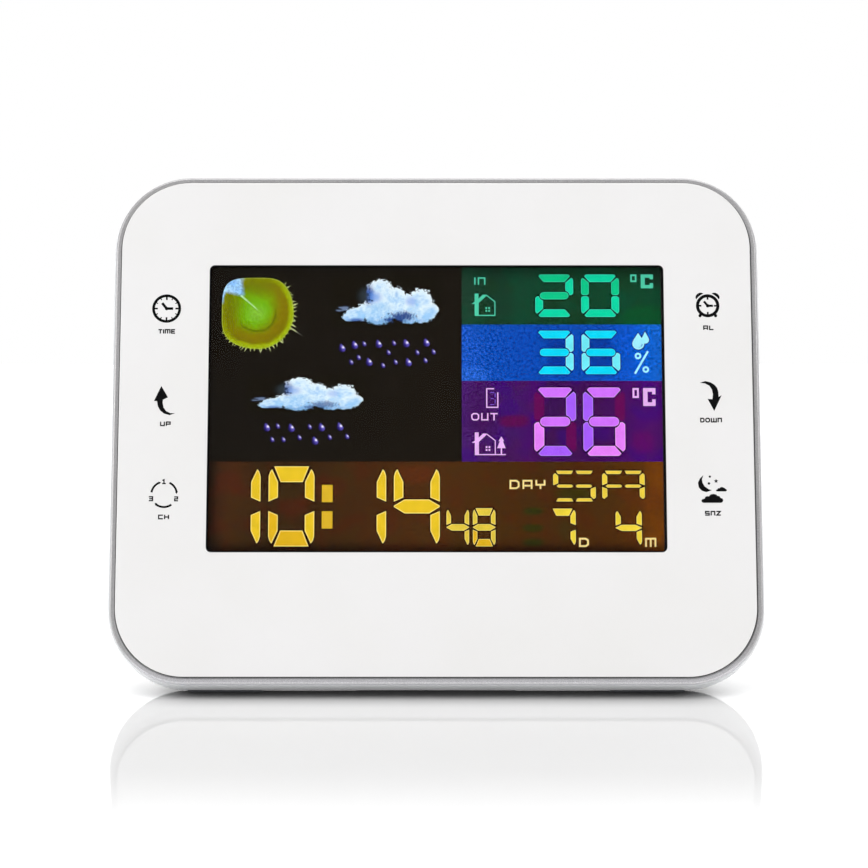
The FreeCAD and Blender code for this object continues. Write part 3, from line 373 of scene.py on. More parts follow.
class FlatWork:
    """Flat shapes on the front, drawn in millimetres from the window's centre, x right and y up."""

    def __init__(self, tint=(0.01, 0.01, 0.01, 1)):
        self.bm = bmesh.new()
        self.tint_layer = self.bm.loops.layers.float_color.new("tint")
        self.done = self.bm.faces.layers.int.new("done")
        self.tint = tint

    def coloured(self, tint=None):
        """Colours what was drawn since the last call."""
        for face in self.bm.faces:
            if not face[self.done]:
                face[self.done] = 1
                for loop in face.loops:
                    loop[self.tint_layer] = tint or self.tint

    def polygon(self, points, tint=None, rounded=(), radius=0.2):
        """A filled outline; rounded lists the corners that are rounded off, or is "all"."""
        corners = [self.bm.verts.new((x, y, 0)) for x, y in points]
        face = self.bm.faces.new(corners)
        face.normal_update()
        if rounded:
            chosen = corners if rounded == "all" else [corners[i] for i in rounded]
            bmesh.ops.bevel(self.bm, geom=chosen, offset=radius, offset_type="OFFSET", segments=4,
                            profile=0.5, affect="VERTICES", material=-1)
        self.coloured(tint)
        return face

    def bar(self, x0, y0, x1, y1, tint=None, radius=0):
        return self.polygon([(x0, y0), (x1, y0), (x1, y1), (x0, y1)], tint,
                            "all" if radius else (), radius)

    def disc(self, x, y, radius, segments=24, fan=False):
        bmesh.ops.create_circle(self.bm, cap_ends=True, cap_tris=fan, segments=segments, radius=radius,
                                matrix=Matrix.Translation((x, y, 0)))
        self.coloured()

    def arc(self, x, y, inner, outer, start=0, sweep=360, tint=None):
        """A ring, or part of one, from start in degrees round by sweep."""
        turn = math.radians(start)
        ends = [self.bm.verts.new((x + r * math.cos(turn), y + r * math.sin(turn), 0))
                for r in (inner, outer)]
        bmesh.ops.spin(self.bm, geom=ends + [self.bm.edges.new(ends)], cent=(x, y, 0), axis=(0, 0, 1),
                       angle=math.radians(sweep), steps=max(4, round(abs(sweep) / 9)),
                       use_merge=abs(sweep) == 360)
        self.coloured(tint)

    def stroke(self, points, width, tint=None, closed=False):
        """A line of even width with mitred corners and square ends."""
        points = [Vector(point) for point in points]
        rails = []
        for i, point in enumerate(points):
            came = point - points[i - 1] if i or closed else None
            goes = points[(i + 1) % len(points)] - point if i < len(points) - 1 or closed else None
            sides = [Vector((-way.y, way.x)).normalized() for way in (came or goes, goes or came)]
            side = sides[0] + sides[1]
            side *= width / max(side.length_squared, 0.4)
            rails.append([self.bm.verts.new((*(point + side), 0)), self.bm.verts.new((*(point - side), 0))])
        for i in range(len(rails) - (not closed)):
            (left, right), (next_left, next_right) = rails[i], rails[(i + 1) % len(rails)]
            self.bm.faces.new((left, right, next_right, next_left))
        self.coloured(tint)

    def piece(self, name, depth, thickness, material, slot, place=FRONT):
        """Makes the shapes a thin closed layer, its back at this depth, and fixes it to the housing."""
        bm = self.bm
        bmesh.ops.remove_doubles(bm, verts=bm.verts, dist=1e-5)
        bm.faces.layers.int.remove(self.done)
        for face in bm.faces:
            face.normal_update()
            if face.normal.z > 0:
                face.normal_flip()
        sheet = bmesh.ops.extrude_face_region(bm, geom=bm.faces[:], use_keep_orig=True)["geom"]
        raised = [v for v in sheet if isinstance(v, bmesh.types.BMVert)]
        bmesh.ops.translate(bm, verts=raised, vec=(0, 0, thickness))
        bmesh.ops.translate(bm, verts=bm.verts, vec=(0, 0, -depth))
        bmesh.ops.recalc_face_normals(bm, faces=bm.faces)
        across = bm.loops.layers.uv.new("front")
        for face in bm.faces:
            for loop in face.loops:
                loop[across].uv = loop.vert.co.xy
        made = bpy.data.objects.new(name, bpy.data.meshes.new(name))
        bm.to_mesh(made.data)
        bm.free()
        made.data.transform(place)
        made.data.materials.append(material)
        bpy.context.scene.collection.objects.link(made)
        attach(made, "housing")


ink = Paint("black_ink")
ink_tone = ink.noise(900, detail=2)
black_ink = ink.surface(Base_Color=ink.mix(ink_tone.rise(0.4, 0.7), srgb(9, 9, 10), srgb(15, 15, 16)),
                        Roughness=ink_tone * 0.15 + 0.55, Specular_IOR_Level=0.03,
                        Normal=ink.bump(ink_tone, 0.00001))

WINDOW_X, WINDOW_Y, WINDOW_CORNER = 67.1, 42.7, 1.5     # half sizes and corner radius
edge = FlatWork()
outline = []
for sx, sy in ((-1, -1), (1, -1), (1, 1), (-1, 1)):
    turned = WINDOW_CORNER - EDGE_WIDTH / 2
    x = sx * (WINDOW_X - EDGE_WIDTH / 2) + max(sx, 0) * EDGE_LAP - sx * turned
    y = sy * (WINDOW_Y - EDGE_WIDTH / 2) - sy * turned
    start = math.atan2(sy, sx) - math.pi / 4
    for step in range(5):
        angle = start + step * math.pi / 8
        outline.append((x + turned * math.cos(angle), y + turned * math.sin(angle)))
edge.stroke(outline, EDGE_WIDTH, closed=True)
edge.piece("window_edge_print", 0.0, 0.02, black_ink, "tape_black")


# ---- Touch symbols ------------------------------------------------------------------------
# Six black symbols with small captions, screen printed on the panel over the touch springs: clock,
# up, sensor channel, alarm, down, and snooze with the weather. They are drawn in plain strokes.
CLOCK_AT, UP_AT, CHANNEL_AT = (-79.7, 29.6), (-80.85, 6.4), (-79.5, -25.73)
ALARM_AT, DOWN_AT, SNOOZE_AT = (80.25, 30.45), (81.65, -1.05), (79.9, -22.45)
CAPTION_HEIGHT, CAPTION_WEIGHT = 1.26, 1.75

# Letters in strokes on a grid: each letter is six units high, strokes are one unit wide. The wide
# ones and the numbers take half a unit more.
LETTERS = {
    "A": [[(0.5, 0), (0.5, 5.5), (4.5, 5.5), (4.5, 0)], [(1, 2.2), (4, 2.2)]],
    "C": [[(5, 5.5), (0.5, 5.5), (0.5, 0.5), (5, 0.5)]],
    "D": [[(0.5, 0.5), (0.5, 5.5), (3.4, 5.5), (4.5, 4.4), (4.5, 1.6), (3.4, 0.5), (0, 0.5)]],
    "E": [[(5, 5.5), (0.5, 5.5), (0.5, 0.5), (5, 0.5)], [(1, 3), (4.4, 3)]],
    "H": [[(0.5, 0), (0.5, 6)], [(4.5, 0), (4.5, 6)], [(1, 3), (4, 3)]],
    "I": [[(0.5, 0), (0.5, 6)]],
    "L": [[(0.5, 6), (0.5, 0.5), (4.6, 0.5)]],
    "M": [[(0.5, 0), (0.5, 5.5), (6.5, 5.5), (6.5, 0)], [(3.5, 5), (3.5, 0)]],
    "N": [[(0.5, 0), (0.5, 5.5), (4.5, 5.5), (4.5, 0)]],
    "O": [[(0.5, 1.6), (0.5, 4.4), (1.6, 5.5), (3.9, 5.5), (5, 4.4), (5, 1.6), (3.9, 0.5), (1.6, 0.5),
           (0.5, 1.6)]],
    "P": [[(0.5, 0), (0.5, 5.5), (4.5, 5.5), (4.5, 2.5), (1, 2.5)]],
    "S": [[(5, 5.5), (0.5, 5.5), (0.5, 3), (4.5, 3), (4.5, 0.5), (0, 0.5)]],
    "T": [[(0, 5.5), (5, 5.5)], [(2.5, 5), (2.5, 0)]],
    "U": [[(0.5, 6), (0.5, 0.5), (4.5, 0.5), (4.5, 6)]],
    "W": [[(0.5, 6), (0.5, 0.5), (6.5, 0.5), (6.5, 6)], [(3.5, 1), (3.5, 6)]],
    "Y": [[(0.5, 6), (0.5, 2.8), (4.5, 2.8), (4.5, 6)], [(2.5, 2.3), (2.5, 0)]],
    "Z": [[(0, 5.5), (4.4, 5.5), (0.6, 0.5), (5, 0.5)]],
    "1": [[(0.2, 4.6), (1.7, 5.5), (1.7, 0.5)], [(0, 0.5), (3.4, 0.5)]],
    "2": [[(0, 5.5), (3.5, 5.5), (3.5, 3), (0.5, 3), (0.5, 0.5), (4, 0.5)]],
    "3": [[(0, 5.5), (3.5, 5.5), (3.5, 0.5), (0, 0.5)], [(0.4, 3), (3, 3)]],
}


def word(work, text, x0, x1, y0, height, tint=None, weight=1.0):
    """A word that fills the width from x0 to x1 on the line y0."""
    widths = [max(x for line in LETTERS[letter] for x, _ in line) + 0.5 * (letter in "IHMNOUWADPY123")
              for letter in text]
    unit_y, gap = height / 6, 1.3
    unit_x = (x1 - x0) / (sum(widths) + gap * (len(text) - 1))
    at = x0
    for letter, width in zip(text, widths):
        for line in LETTERS[letter]:
            work.stroke([(at + x * unit_x, y0 + y * unit_y) for x, y in line], unit_y * weight, tint)
        at += (width + gap) * unit_x


def around(centre, radius, degrees):
    """The point at this distance and angle from the centre."""
    turn = math.radians(degrees)
    return centre[0] + radius * math.cos(turn), centre[1] + radius * math.sin(turn)


def shifted(at, points, size=1):
    """An outline drawn round (0, 0), brought to its place and size."""
    return [(at[0] + size * x, at[1] + size * y) for x, y in points]


symbols = FlatWork()

# clock, and alarm clock with two bells and two feet
for centre, radius, ring_width, hand, marks in ((CLOCK_AT, 4.28, 0.82, 0.78, 12),
                                                (ALARM_AT, 3.47, 0.92, 0.66, 4)):
    inside = radius - ring_width
    symbols.arc(*centre, inside, radius)
    for mark in range(marks):
        turn, main = 360 / marks * mark, mark * 4 % marks == 0
        symbols.stroke([around(centre, inside - (0.85 if main else 0.5) * radius / 4.26, turn),
                        around(centre, inside + 0.1, turn)], 0.5 if main else 0.3)
    symbols.stroke([around(centre, radius * 0.5, 129), centre, around(centre, radius * 0.45, 0)], hand)
    symbols.disc(*centre, 0.52)
for way in (-1, 1):
    symbols.polygon([around(ALARM_AT, away, 90 + way * turn) for away, turn in (
        (3.83, 60), (4.25, 57), (4.58, 50), (4.68, 41), (4.58, 31), (4.25, 23), (3.83, 19), (3.83, 30),
        (3.83, 45))])
    foot = ALARM_AT[0] + way * 2.3, ALARM_AT[1] - 3.0
    symbols.stroke([around(ALARM_AT, 3.2, 270 + way * 40), foot], 0.8)
    symbols.disc(*foot, 0.47, segments=16)

# bent arrows
symbols.polygon(shifted(UP_AT, [
    (0, 0), (-2.1, -4.5), (-1.2, -4.5), (-0.95, -6.0), (-0.25, -7.3), (0.95, -8.25), (2.55, -8.7),
    (4.2, -8.1), (2.75, -8.1), (1.55, -7.5), (0.75, -6.4), (0.45, -4.9), (0.55, -4.1), (2.0, -3.4)]))
symbols.polygon(shifted(DOWN_AT, [
    (0, 0), (2.25, 4.7), (1.35, 4.2), (1.3, 5.65), (0.95, 6.9), (0.2, 7.8), (-1.0, 8.55), (-2.5, 8.9),
    (-4.15, 8.4), (-2.6, 8.2), (-1.3, 7.5), (-0.6, 6.4), (-0.3, 5.0), (-0.5, 3.5), (-1.9, 3.6)]))

# channel ring: three arrows that chase each other past the numbers 1, 2 and 3
for start, sweep in ((171, -56), (66, -54), (-54, -73)):
    symbols.arc(*CHANNEL_AT, 3.43, 4.03, start=start, sweep=sweep)
    tip = start + sweep
    symbols.polygon([around(CHANNEL_AT, 3.28, tip), around(CHANNEL_AT, 3.66, tip - 10),
                     around(CHANNEL_AT, 4.16, tip)])
for number, degrees, away in (("1", 90, 3.75), ("2", -20, 3.85), ("3", 198.5, 4.0)):
    x, y = around(CHANNEL_AT, away, degrees)
    word(symbols, number, x - 0.62, x + 0.62, y - 0.68, 1.36, weight=1.65)

# snooze: moon, stars and two clouds
symbols.polygon(shifted(SNOOZE_AT, [
    (-1.8, 2.35), (-2.75, 1.5), (-3.4, 0.2), (-3.2, -1.2), (-2.3, -2.2), (-1.0, -2.6), (0.6, -2.05),
    (-0.3, -1.75), (-1.45, -0.95), (-2.1, 0.2), (-2.2, 1.2)]))
x, y = SNOOZE_AT
symbols.disc(x + 0.1, y + 1.95, 0.33, segments=12)
symbols.disc(x - 0.2, y - 0.05, 0.36, segments=12)
symbols.polygon([around((x + 1.9, y + 0.65), 0.68 if i % 2 == 0 else 0.3, 90 + 36 * i) for i in range(10)])
for left, low, size in ((x + 1.8, y - 2.4, 3.2), (x - 2.5, y - 5.75, 6.4)):
    symbols.polygon(shifted((left, low), (
        (0.1, 0), (0.9, 0), (0.98, 0.05), (1, 0.13), (0.96, 0.2), (0.87, 0.23), (0.83, 0.31), (0.74, 0.32),
        (0.68, 0.38), (0.55, 0.41), (0.42, 0.38), (0.35, 0.29), (0.27, 0.31), (0.18, 0.27), (0.15, 0.19),
        (0.05, 0.17), (0, 0.1), (0.03, 0.03)), size))

for text, x0, x1, y0 in (("TIME", -82.0, -77.1, 22.1), ("AL", 78.85, 81.85, 23.2),
                         ("UP", -81.0, -77.95, -5.5), ("DOWN", 77.5, 83.8, -4.4),
                         ("CH", -81.1, -77.95, -33.0), ("SNZ", 78.45, 83.0, -31.9)):
    word(symbols, text, x0, x1, y0, CAPTION_HEIGHT, weight=CAPTION_WEIGHT)
symbols.piece("touch_symbols", 0.0, 0.02, black_ink, "tape_black")


# ---- Display fields -----------------------------------------------------------------------
# The liquid crystal cell is dark glass with coloured film behind it. Its backlight shines faintly
# through the dark fields: black for the forecast, green, blue and purple for the climate, brown
# for the time.
FIELD_X0, FIELD_X1, FIELD_TOP, FIELD_LOW = -66.9, 66.3, 42.46, -42.5
SPLIT_X, GREEN_Y, BLUE_Y, PURPLE_Y = 7.3, 25.25, 8.36, -15.65
FIELD_DEPTH, PICTURE_DEPTH, SEGMENT_DEPTH = 2.17, 2.13, 2.09       # behind the panel's face
LAYER = 0.02                        # thickness of each
INK_SHARE = 0.8                     # how much of its colour a field also has as plain ink
GLOW = 0.51                         # makes up for the pane, which takes its share on both of its faces
VEIL = 0.0065                       # light that the pane's own faces add
# The cell sits a little right of the window's centre, and its print is slightly wider.
DISPLAY = (FRONT @ Matrix.Translation((0.235, -0.08, 0))
           @ Matrix.Diagonal((1.001, 1.0015, 1, 1)))


def lit(paint, colour):
    """A dark surface in the cell that shines, so that the eye gets this colour through the pane."""
    bare = paint.node("Mix", {"data_type": "RGBA", "blend_type": "SUBTRACT", "clamp_result": True},
                      {0: 1.0, 6: colour, 7: (VEIL, VEIL, VEIL, 1)}, out=2)
    ink_colour = paint.mix(1.0, bare, (INK_SHARE, INK_SHARE, INK_SHARE, 1), "MULTIPLY")
    return paint.surface(Base_Color=ink_colour, Roughness=0.6, Specular_IOR_Level=0.0,
                         Emission_Color=bare, Emission_Strength=GLOW)


def front_place(paint, layer="front"):
    """Millimetres on the front, or another flat map: as a vector, and as its two numbers."""
    place = paint.node("UVMap", {"uv_map": layer})
    return (place, paint.node("SeparateXYZ", values={0: place}, out=0),
            paint.node("SeparateXYZ", values={0: place}, out=1))


def into_cell(work, name, depth, material):
    """Fixes flat work inside the crystal cell, this far behind the panel's face."""
    work.piece(name, depth, LAYER, material, "display_glass", DISPLAY)


def field(name, x0, y0, x1, y1, stops, spots=(), patches=(), grain=0.3, speck=0.004, size=1.7, falls=()):
    """One coloured field, with its colours as screen values. Stops are colours by share of its width;
    spots are (x, y, half width, half height, colour, strength); patches are (colour, strength, seed)
    for large uneven areas; falls are (x or y, place of the edge, width, light left at the edge)."""
    stops = [(share, srgb(*tint)) for share, tint in stops]
    paint = Paint(name)
    place, x, y = front_place(paint)
    slow = paint.noise(0.09, detail=3, place=place, roughness=0.6)
    colour = paint.node("ValToRGB", {"stops": stops}, {0: (x + (slow - 0.5) * 14 - x0) / (x1 - x0)})
    for tint, strength, seed in patches:
        elsewhere = paint.node("VectorMath", {"operation": "ADD"}, {0: place, 1: (seed, 3 * seed, 0)})
        area = paint.noise(0.12, detail=1, place=elsewhere).rise(0.52, 0.6)
        colour = paint.mix(area * strength, colour, srgb(*tint))
    for sx, sy, wide, high, tint, strength in spots:
        far = ((((x - sx) / wide).size() ** 3 + ((y - sy) / high).size() ** 3) ** 0.333
               + (slow - 0.5) * 0.6)
        colour = paint.mix((1 - far.rise(0.6, 1.25)) * strength, colour, srgb(*tint))
    light = 1.0
    for axis, edge, wide, left in falls:
        away = ((x if axis == "x" else y) - edge).size()
        light = (away.rise(0, wide) * (1 - left) + left) * light
    fine = paint.noise(size, detail=3, place=place, roughness=0.85).rise(0.36, 0.64)
    colour = paint.tone(colour, (fine * (2 * grain) + (1 - grain)) * light)
    colour = paint.mix(fine, colour, (speck, speck, speck, 1), "ADD")
    work = FlatWork()
    work.bar(x0, y0, x1, y1)
    into_cell(work, name, FIELD_DEPTH, lit(paint, colour))


field("field_forecast", FIELD_X0, PURPLE_Y, SPLIT_X, FIELD_TOP,
      [(0.0, (26, 23, 20)), (1.0, (28, 24, 20))], grain=0.2, speck=0.002)
field("field_indoor", SPLIT_X, GREEN_Y, FIELD_X1, FIELD_TOP,
      [(0.0, (28, 61, 44)), (0.14, (21, 56, 39)), (0.4, (15, 59, 37)), (0.75, (11, 65, 39)),
       (1.0, (9, 66, 40))],
      [(62, 27, 8, 4, (1, 78, 36), 0.7), (65, 42, 5, 6, (15, 38, 27), 0.8),
       (27, 35, 5, 9, (14, 70, 46), 0.5)],
      patches=(((22, 52, 26), 0.45, 5.0), ((8, 70, 46), 0.4, 21.0)), grain=0.48, speck=0.009,
      size=1.3, falls=(("y", FIELD_TOP, 5.0, 0.55),))
field("field_humidity", SPLIT_X, BLUE_Y, FIELD_X1, GREEN_Y,
      [(0.0, (28, 84, 190)), (0.1, (17, 75, 176)), (0.35, (9, 70, 173)), (0.7, (9, 72, 177)),
       (0.85, (9, 82, 198)), (1.0, (17, 99, 205))],
      [(35.5, 17, 3.0, 6.5, (5, 50, 146), 0.85), (48.5, 17, 3.4, 6.5, (6, 52, 148), 0.8),
       (9, 10, 6, 2.5, (40, 100, 204), 0.7)],
      grain=0.52, speck=0.006, size=1.3)
field("field_outdoor", SPLIT_X, PURPLE_Y, FIELD_X1, BLUE_Y,
      [(0.0, (72, 30, 106)), (0.08, (66, 26, 97)), (0.24, (64, 23, 95)), (0.36, (70, 10, 101)),
       (0.43, (57, 18, 80)), (0.7, (63, 14, 84)), (0.86, (71, 13, 98)), (1.0, (78, 9, 113))],
      [(22.5, -3.6, 4.5, 1.8, (96, 2, 70), 0.75), (60.5, -10, 3.4, 3.6, (94, 2, 92), 0.7),
       (13, -1, 5, 8, (64, 20, 84), 0.5)],
      patches=(((58, 6, 118), 0.5, 9.0), ((72, 22, 74), 0.4, 31.0)), grain=0.46, speck=0.005,
      size=1.3)
BAND_GHOST = (40, 47, 10)
field("field_time", FIELD_X0, FIELD_LOW, FIELD_X1, PURPLE_Y,
      [(0.0, (54, 36, 23)), (0.05, (68, 39, 21)), (0.12, (54, 36, 20)), (0.2, (56, 36, 19)),
       (0.27, (60, 38, 19)), (0.35, (66, 39, 18)), (0.5, (76, 44, 19)), (0.6, (72, 43, 16)),
       (0.75, (69, 40, 15)), (0.9, (76, 43, 13)), (0.955, (88, 49, 13)), (1.0, (116, 62, 14))],
      [(28, -30.3, 3.1, 1.15, BAND_GHOST, 0.9), (28, -35.2, 3.1, 1.15, BAND_GHOST, 0.85),
       (28, -39.5, 3.1, 1.15, BAND_GHOST, 0.85), (40.5, -25.3, 5.5, 1.8, (50, 52, 12), 0.7),
       (38, -36, 2.6, 3.4, (52, 46, 18), 0.5), (-42.5, -29, 5.0, 2.6, (80, 34, 22), 0.5),
       (-61, -22, 4, 3.5, (84, 36, 24), 0.4), (-31, -23, 5, 3, (82, 34, 22), 0.35),
       (-7, -19.5, 6, 2.6, (98, 44, 22), 0.5), (-14.5, -33.5, 3, 5, (80, 34, 22), 0.35)],
      patches=(((86, 32, 20), 0.2, 13.0), ((58, 48, 22), 0.2, 47.0)), grain=0.54, speck=0.004,
      size=1.3, falls=(("y", FIELD_LOW, 4.4, 0.30), ("x", FIELD_X0, 4.0, 0.45)))


# ---- Forecast pictures --------------------------------------------------------------------
# A sun, and twice a cloud that rains: colour pictures on the film behind the forecast field.
# They are common weather signs, shaded to look round.
SUN_AT, SUN_WIDE, SUN_HIGH = (-53.1, 28.65), 10.62, 10.72
SPIKES_FROM, SPIKES_TO, SHORT_UNTIL = -152.0, 50.0, -127.0      # degrees round the rim
RIM = 0.985                         # where the spikes start

random.seed(7)
sun = FlatWork()
sun.disc(0, 0, 1.0, segments=120, fan=True)
degrees = SPIKES_FROM
while degrees < SPIKES_TO:
    long = random.uniform(0.05, 0.17) * (1 if degrees > SHORT_UNTIL else 0.5)
    half, lean = random.uniform(0.8, 1.9), random.uniform(-3.0, 2.0)
    sun.polygon([around((0, 0), RIM, degrees - half), around((0, 0), 1 + long, degrees + lean),
                 around((0, 0), RIM, degrees + half)])
    degrees += random.uniform(3.5, 8.0)
sun.polygon([around((0, 0), RIM, -24.8), around((0, 0), 1.46, -27), around((0, 0), RIM, -22.6)])
unit = sun.bm.loops.layers.uv.new("within")     # place inside the sun, 1 at its rim
for face in sun.bm.faces:
    for loop in face.loops:
        loop[unit].uv = loop.vert.co.xy
for corner in sun.bm.verts:
    turn = math.atan2(corner.co.y, corner.co.x)
    upper_left = math.cos(turn - math.radians(135))
    square = 2.63 + upper_left * (1.02 + 0.35 * upper_left)     # round at the lower right, squarish above
    swell = (abs(math.cos(turn)) ** square + abs(math.sin(turn)) ** square) ** (-1 / square)
    corner.co = (SUN_AT[0] + corner.co.x * swell * SUN_WIDE, SUN_AT[1] + corner.co.y * swell * SUN_HIGH, 0)

sunny = Paint("sun_picture")
place, u, v = front_place(sunny, "within")
out = (u ** 2 + v ** 2) ** 0.5
streak = sunny.node("CombineXYZ", values={0: v.math("ARCTAN2", v, u) * 5.0, 1: out * 1.6})
rays = sunny.noise(1.8, detail=4, place=streak, roughness=0.7)
blur = sunny.noise(3.0, detail=4, place=place, roughness=0.65)
speck = sunny.noise(15, detail=3, place=place, roughness=0.8).rise(0.36, 0.64)
middle = (((u + 0.03) ** 2 + (v - 0.04) ** 2) ** 0.5) + (blur - 0.5) * 0.4 + (rays - 0.5) * 0.16
lower_right = ((u - v) * 0.7).rise(-0.75, 0.35)
# green in the middle, olive further out, browner at the lower right, with faint rays
olive = sunny.mix(lower_right, srgb(112, 124, 12), srgb(130, 114, 10))
rayed = sunny.mix(rays.rise(0.35, 0.65), srgb(110, 100, 8), srgb(126, 124, 14))
colour = sunny.mix(middle.rise(0.2, 0.74), srgb(112, 178, 26), olive)
colour = sunny.mix(middle.rise(0.66, 0.9) * 0.6, colour, rayed)
# a darker half ring, a pale heart, and a bright rim that thins out into the spikes
ring = 1 - ((out - 0.5 - (rays - 0.5) * 0.08) / 0.05).size().rise(0.2, 1.0)
colour = sunny.mix(ring * (u * 0.4 - v).rise(-0.1, 0.3) * 0.7, colour, srgb(84, 98, 6))
pale = 1 - ((((u + 0.02) / 0.38) ** 2 + ((v + 0.01) / 0.34) ** 2) ** 0.5).rise(0.1, 1.0)
colour = sunny.mix(pale * 0.6, colour, srgb(138, 190, 66))
rim = (out + (rays - 0.5) * 0.1).rise(0.82, 0.94)
colour = sunny.mix(rim * (lower_right * 0.85 + 0.15), colour, srgb(158, 178, 24))
colour = sunny.mix((out + (rays - 0.5) * 0.03).rise(0.965, 0.99) * 0.7, colour, srgb(172, 190, 66))
colour = sunny.mix(out.rise(1.0, 1.05), colour, srgb(206, 214, 150))
colour = sunny.mix(out.rise(1.14, 1.26), colour, srgb(126, 128, 118))
# a bright flare fills the upper left corner and ends in one needle of light towards the middle
wave = (blur - 0.5) * 0.3
flare = ((u + 0.38 + wave) * -1).rise(-0.06, 0.08) * (v - 0.265 + u * 0.325 + wave * 0.5).rise(-0.03, 0.08)
flare = flare.most((out + wave * 0.5).rise(0.92, 0.99) * (u * -1).rise(0.5, 0.75)
                   * (v - 0.2).rise(0.0, 0.2))
along = (u + 0.385) * 0.767 - (v - 0.41) * 0.641
beside = ((u + 0.385) * 0.641 + (v - 0.41) * 0.767).size()
needle = ((1 - (beside - 0.02 + along * 0.02).rise(-0.012, 0.014))
          * along.rise(-0.05, 0.0) * (1 - along.rise(0.42, 0.54)))
colour = sunny.mix(needle * 0.85, colour, srgb(190, 226, 160))
sky = sunny.mix(blur.rise(0.35, 0.65), srgb(136, 190, 246), srgb(176, 218, 255))
colour = sunny.mix(flare, colour, sky)
into_cell(sun, "picture_sun", PICTURE_DEPTH, lit(sunny, sunny.tone(colour, speck * 0.5 + 0.75)))

# The cloud's puffs: centre and half sizes in millimetres, from the cloud's middle.
PUFFS = [(-3.0, 3.3, 3.7, 3.8), (1.4, 1.5, 3.6, 3.0), (4.4, 0.0, 2.8, 2.8), (8.8, 0.4, 3.8, 3.6),
         (11.4, -2.3, 2.7, 2.3), (9.3, -3.8, 3.8, 2.2), (0.3, -1.8, 8.8, 3.4), (-6.7, -2.6, 3.8, 2.5),
         (-10.0, -3.6, 3.6, 2.0), (-12.4, -4.5, 2.0, 1.1), (-3.4, -4.3, 4.6, 2.3), (5.9, -4.1, 3.8, 2.2)]
WISPS = [(-13.4, -1.8, 1.6, 0.9), (-15.2, -2.4, 1.6, 0.35), (-14.6, -1.5, 1.2, 0.3)]


def cloud_picture(name, centre, wide, high, dusk=1.0):
    """A shaded rain cloud on black; wide and high stretch the puffs; dusk is how blue its shadows are."""
    paint = Paint(name)
    place, x, y = front_place(paint)
    x, y = (x - centre[0]) / wide, (y - centre[1]) / high
    local = paint.node("CombineXYZ", values={0: x, 1: y})
    lumps = paint.noise(0.62, detail=3, place=local, roughness=0.65)
    curls = paint.noise(1.25, detail=4, place=local, roughness=0.85)
    puffy = paint.noise(0.3, detail=4, place=local, roughness=0.6)
    slanted = paint.node("CombineXYZ", values={0: x * 1.6, 1: y * 1.1 - x * 0.9})
    streaks = paint.noise(1.0, detail=4, place=slanted, roughness=0.75)

    def within(cx, cy, rx, ry):
        """1 at a spot's centre, 0 at its edge and less outside."""
        return 1 - (((x - cx) / rx) ** 2 + ((y - cy) / ry) ** 2) ** 0.5

    def near(cx, cy, rx, ry, ragged):
        """The same, with a ragged edge."""
        return within(cx, cy, rx, ry) + (curls - 0.5) * ragged

    deep = within(*PUFFS[0])
    for puff in PUFFS[1:]:
        deep = deep.most(within(*puff))
    deep = deep + (lumps - 0.5) * 0.75 + (curls - 0.5) * 0.9 + 0.02
    body = deep.rise(0.0, 0.05)
    wisp = near(*WISPS[0], 2.2).rise(0.0, 0.7)
    for spot in WISPS[1:]:
        wisp = wisp.most(near(*spot, 2.2).rise(0.0, 0.7))
    bright = (puffy * 1.4 - 0.1 + y * 0.03 + (curls - 0.5) * 0.5).rise(0.3, 0.85)
    light = paint.mix(bright, srgb(158, 206, 246), srgb(226, 244, 255))
    light = paint.mix((1 - deep.rise(0.1, 0.45)) * (y + 4.0).rise(0, 3) * 0.6, light, srgb(234, 248, 255))
    under = (1 - (y + (lumps - 0.5) * 3).rise(-6.2, -4.2)) * (1 - x.rise(9, 12))
    light = paint.mix(under * 0.6, light, srgb(104, 160, 216))
    for cx, cy, rx, ry, tint, strength in (
            (-6.3, 2.4, 2.2, 4.2, (58, 86, 160), 1.0), (-4.9, 1.6, 3.4, 2.6, (96, 146, 226), 0.7),
            (6.1, 0.3, 2.4, 2.0, (108, 150, 232), 0.55), (-10.0, -5.4, 3.4, 1.0, (72, 108, 190), 0.9),
            (-2.5, -1.5, 5.0, 1.4, (164, 206, 240), 0.5), (1.8, 2.4, 0.7, 1.6, (140, 186, 236), 0.6),
            (-0.6, -3.4, 0.5, 0.4, (24, 50, 100), 0.8)):
        light = paint.mix(near(cx, cy, rx, ry, 0.9).rise(0.0, 0.8) * (strength * dusk), light, srgb(*tint))
    notch = near(3.6, -4.2, 4.4, 1.7, 1.4).most(near(1.6, -5.2, 4.4, 1.2, 1.6)) + (streaks - 0.5) * 2.2
    light = paint.mix(notch.rise(-0.1, 0.6) * (0.95 * dusk), light, srgb(34, 62, 132))
    ghost = near(-7.2, 2.0, 3.4, 3.7, 1.1).rise(0.0, 0.8)
    dusky = paint.mix(x.rise(-7.8, -5.4), srgb(50, 58, 64), srgb(56, 80, 140))
    black = paint.mix(ghost * 0.9, srgb(27, 24, 20), dusky)
    black = paint.mix(wisp * 0.85, black, srgb(116, 136, 172))
    work = FlatWork()
    work.bar(centre[0] - 17.5 * wide, centre[1] - 7.4 * high, centre[0] + 15 * wide, centre[1] + 7.8 * high,
             radius=0.5)
    light = paint.tone(light, curls * 0.3 + 0.83)
    into_cell(work, name, PICTURE_DEPTH, lit(paint, paint.mix(body, black, light)))


cloud_picture("picture_cloud_near", (-13.8, 31.9), 1.0, 1.0)
cloud_picture("picture_cloud_far", (-37.2, 4.3), 1.08, 0.72, 0.75)

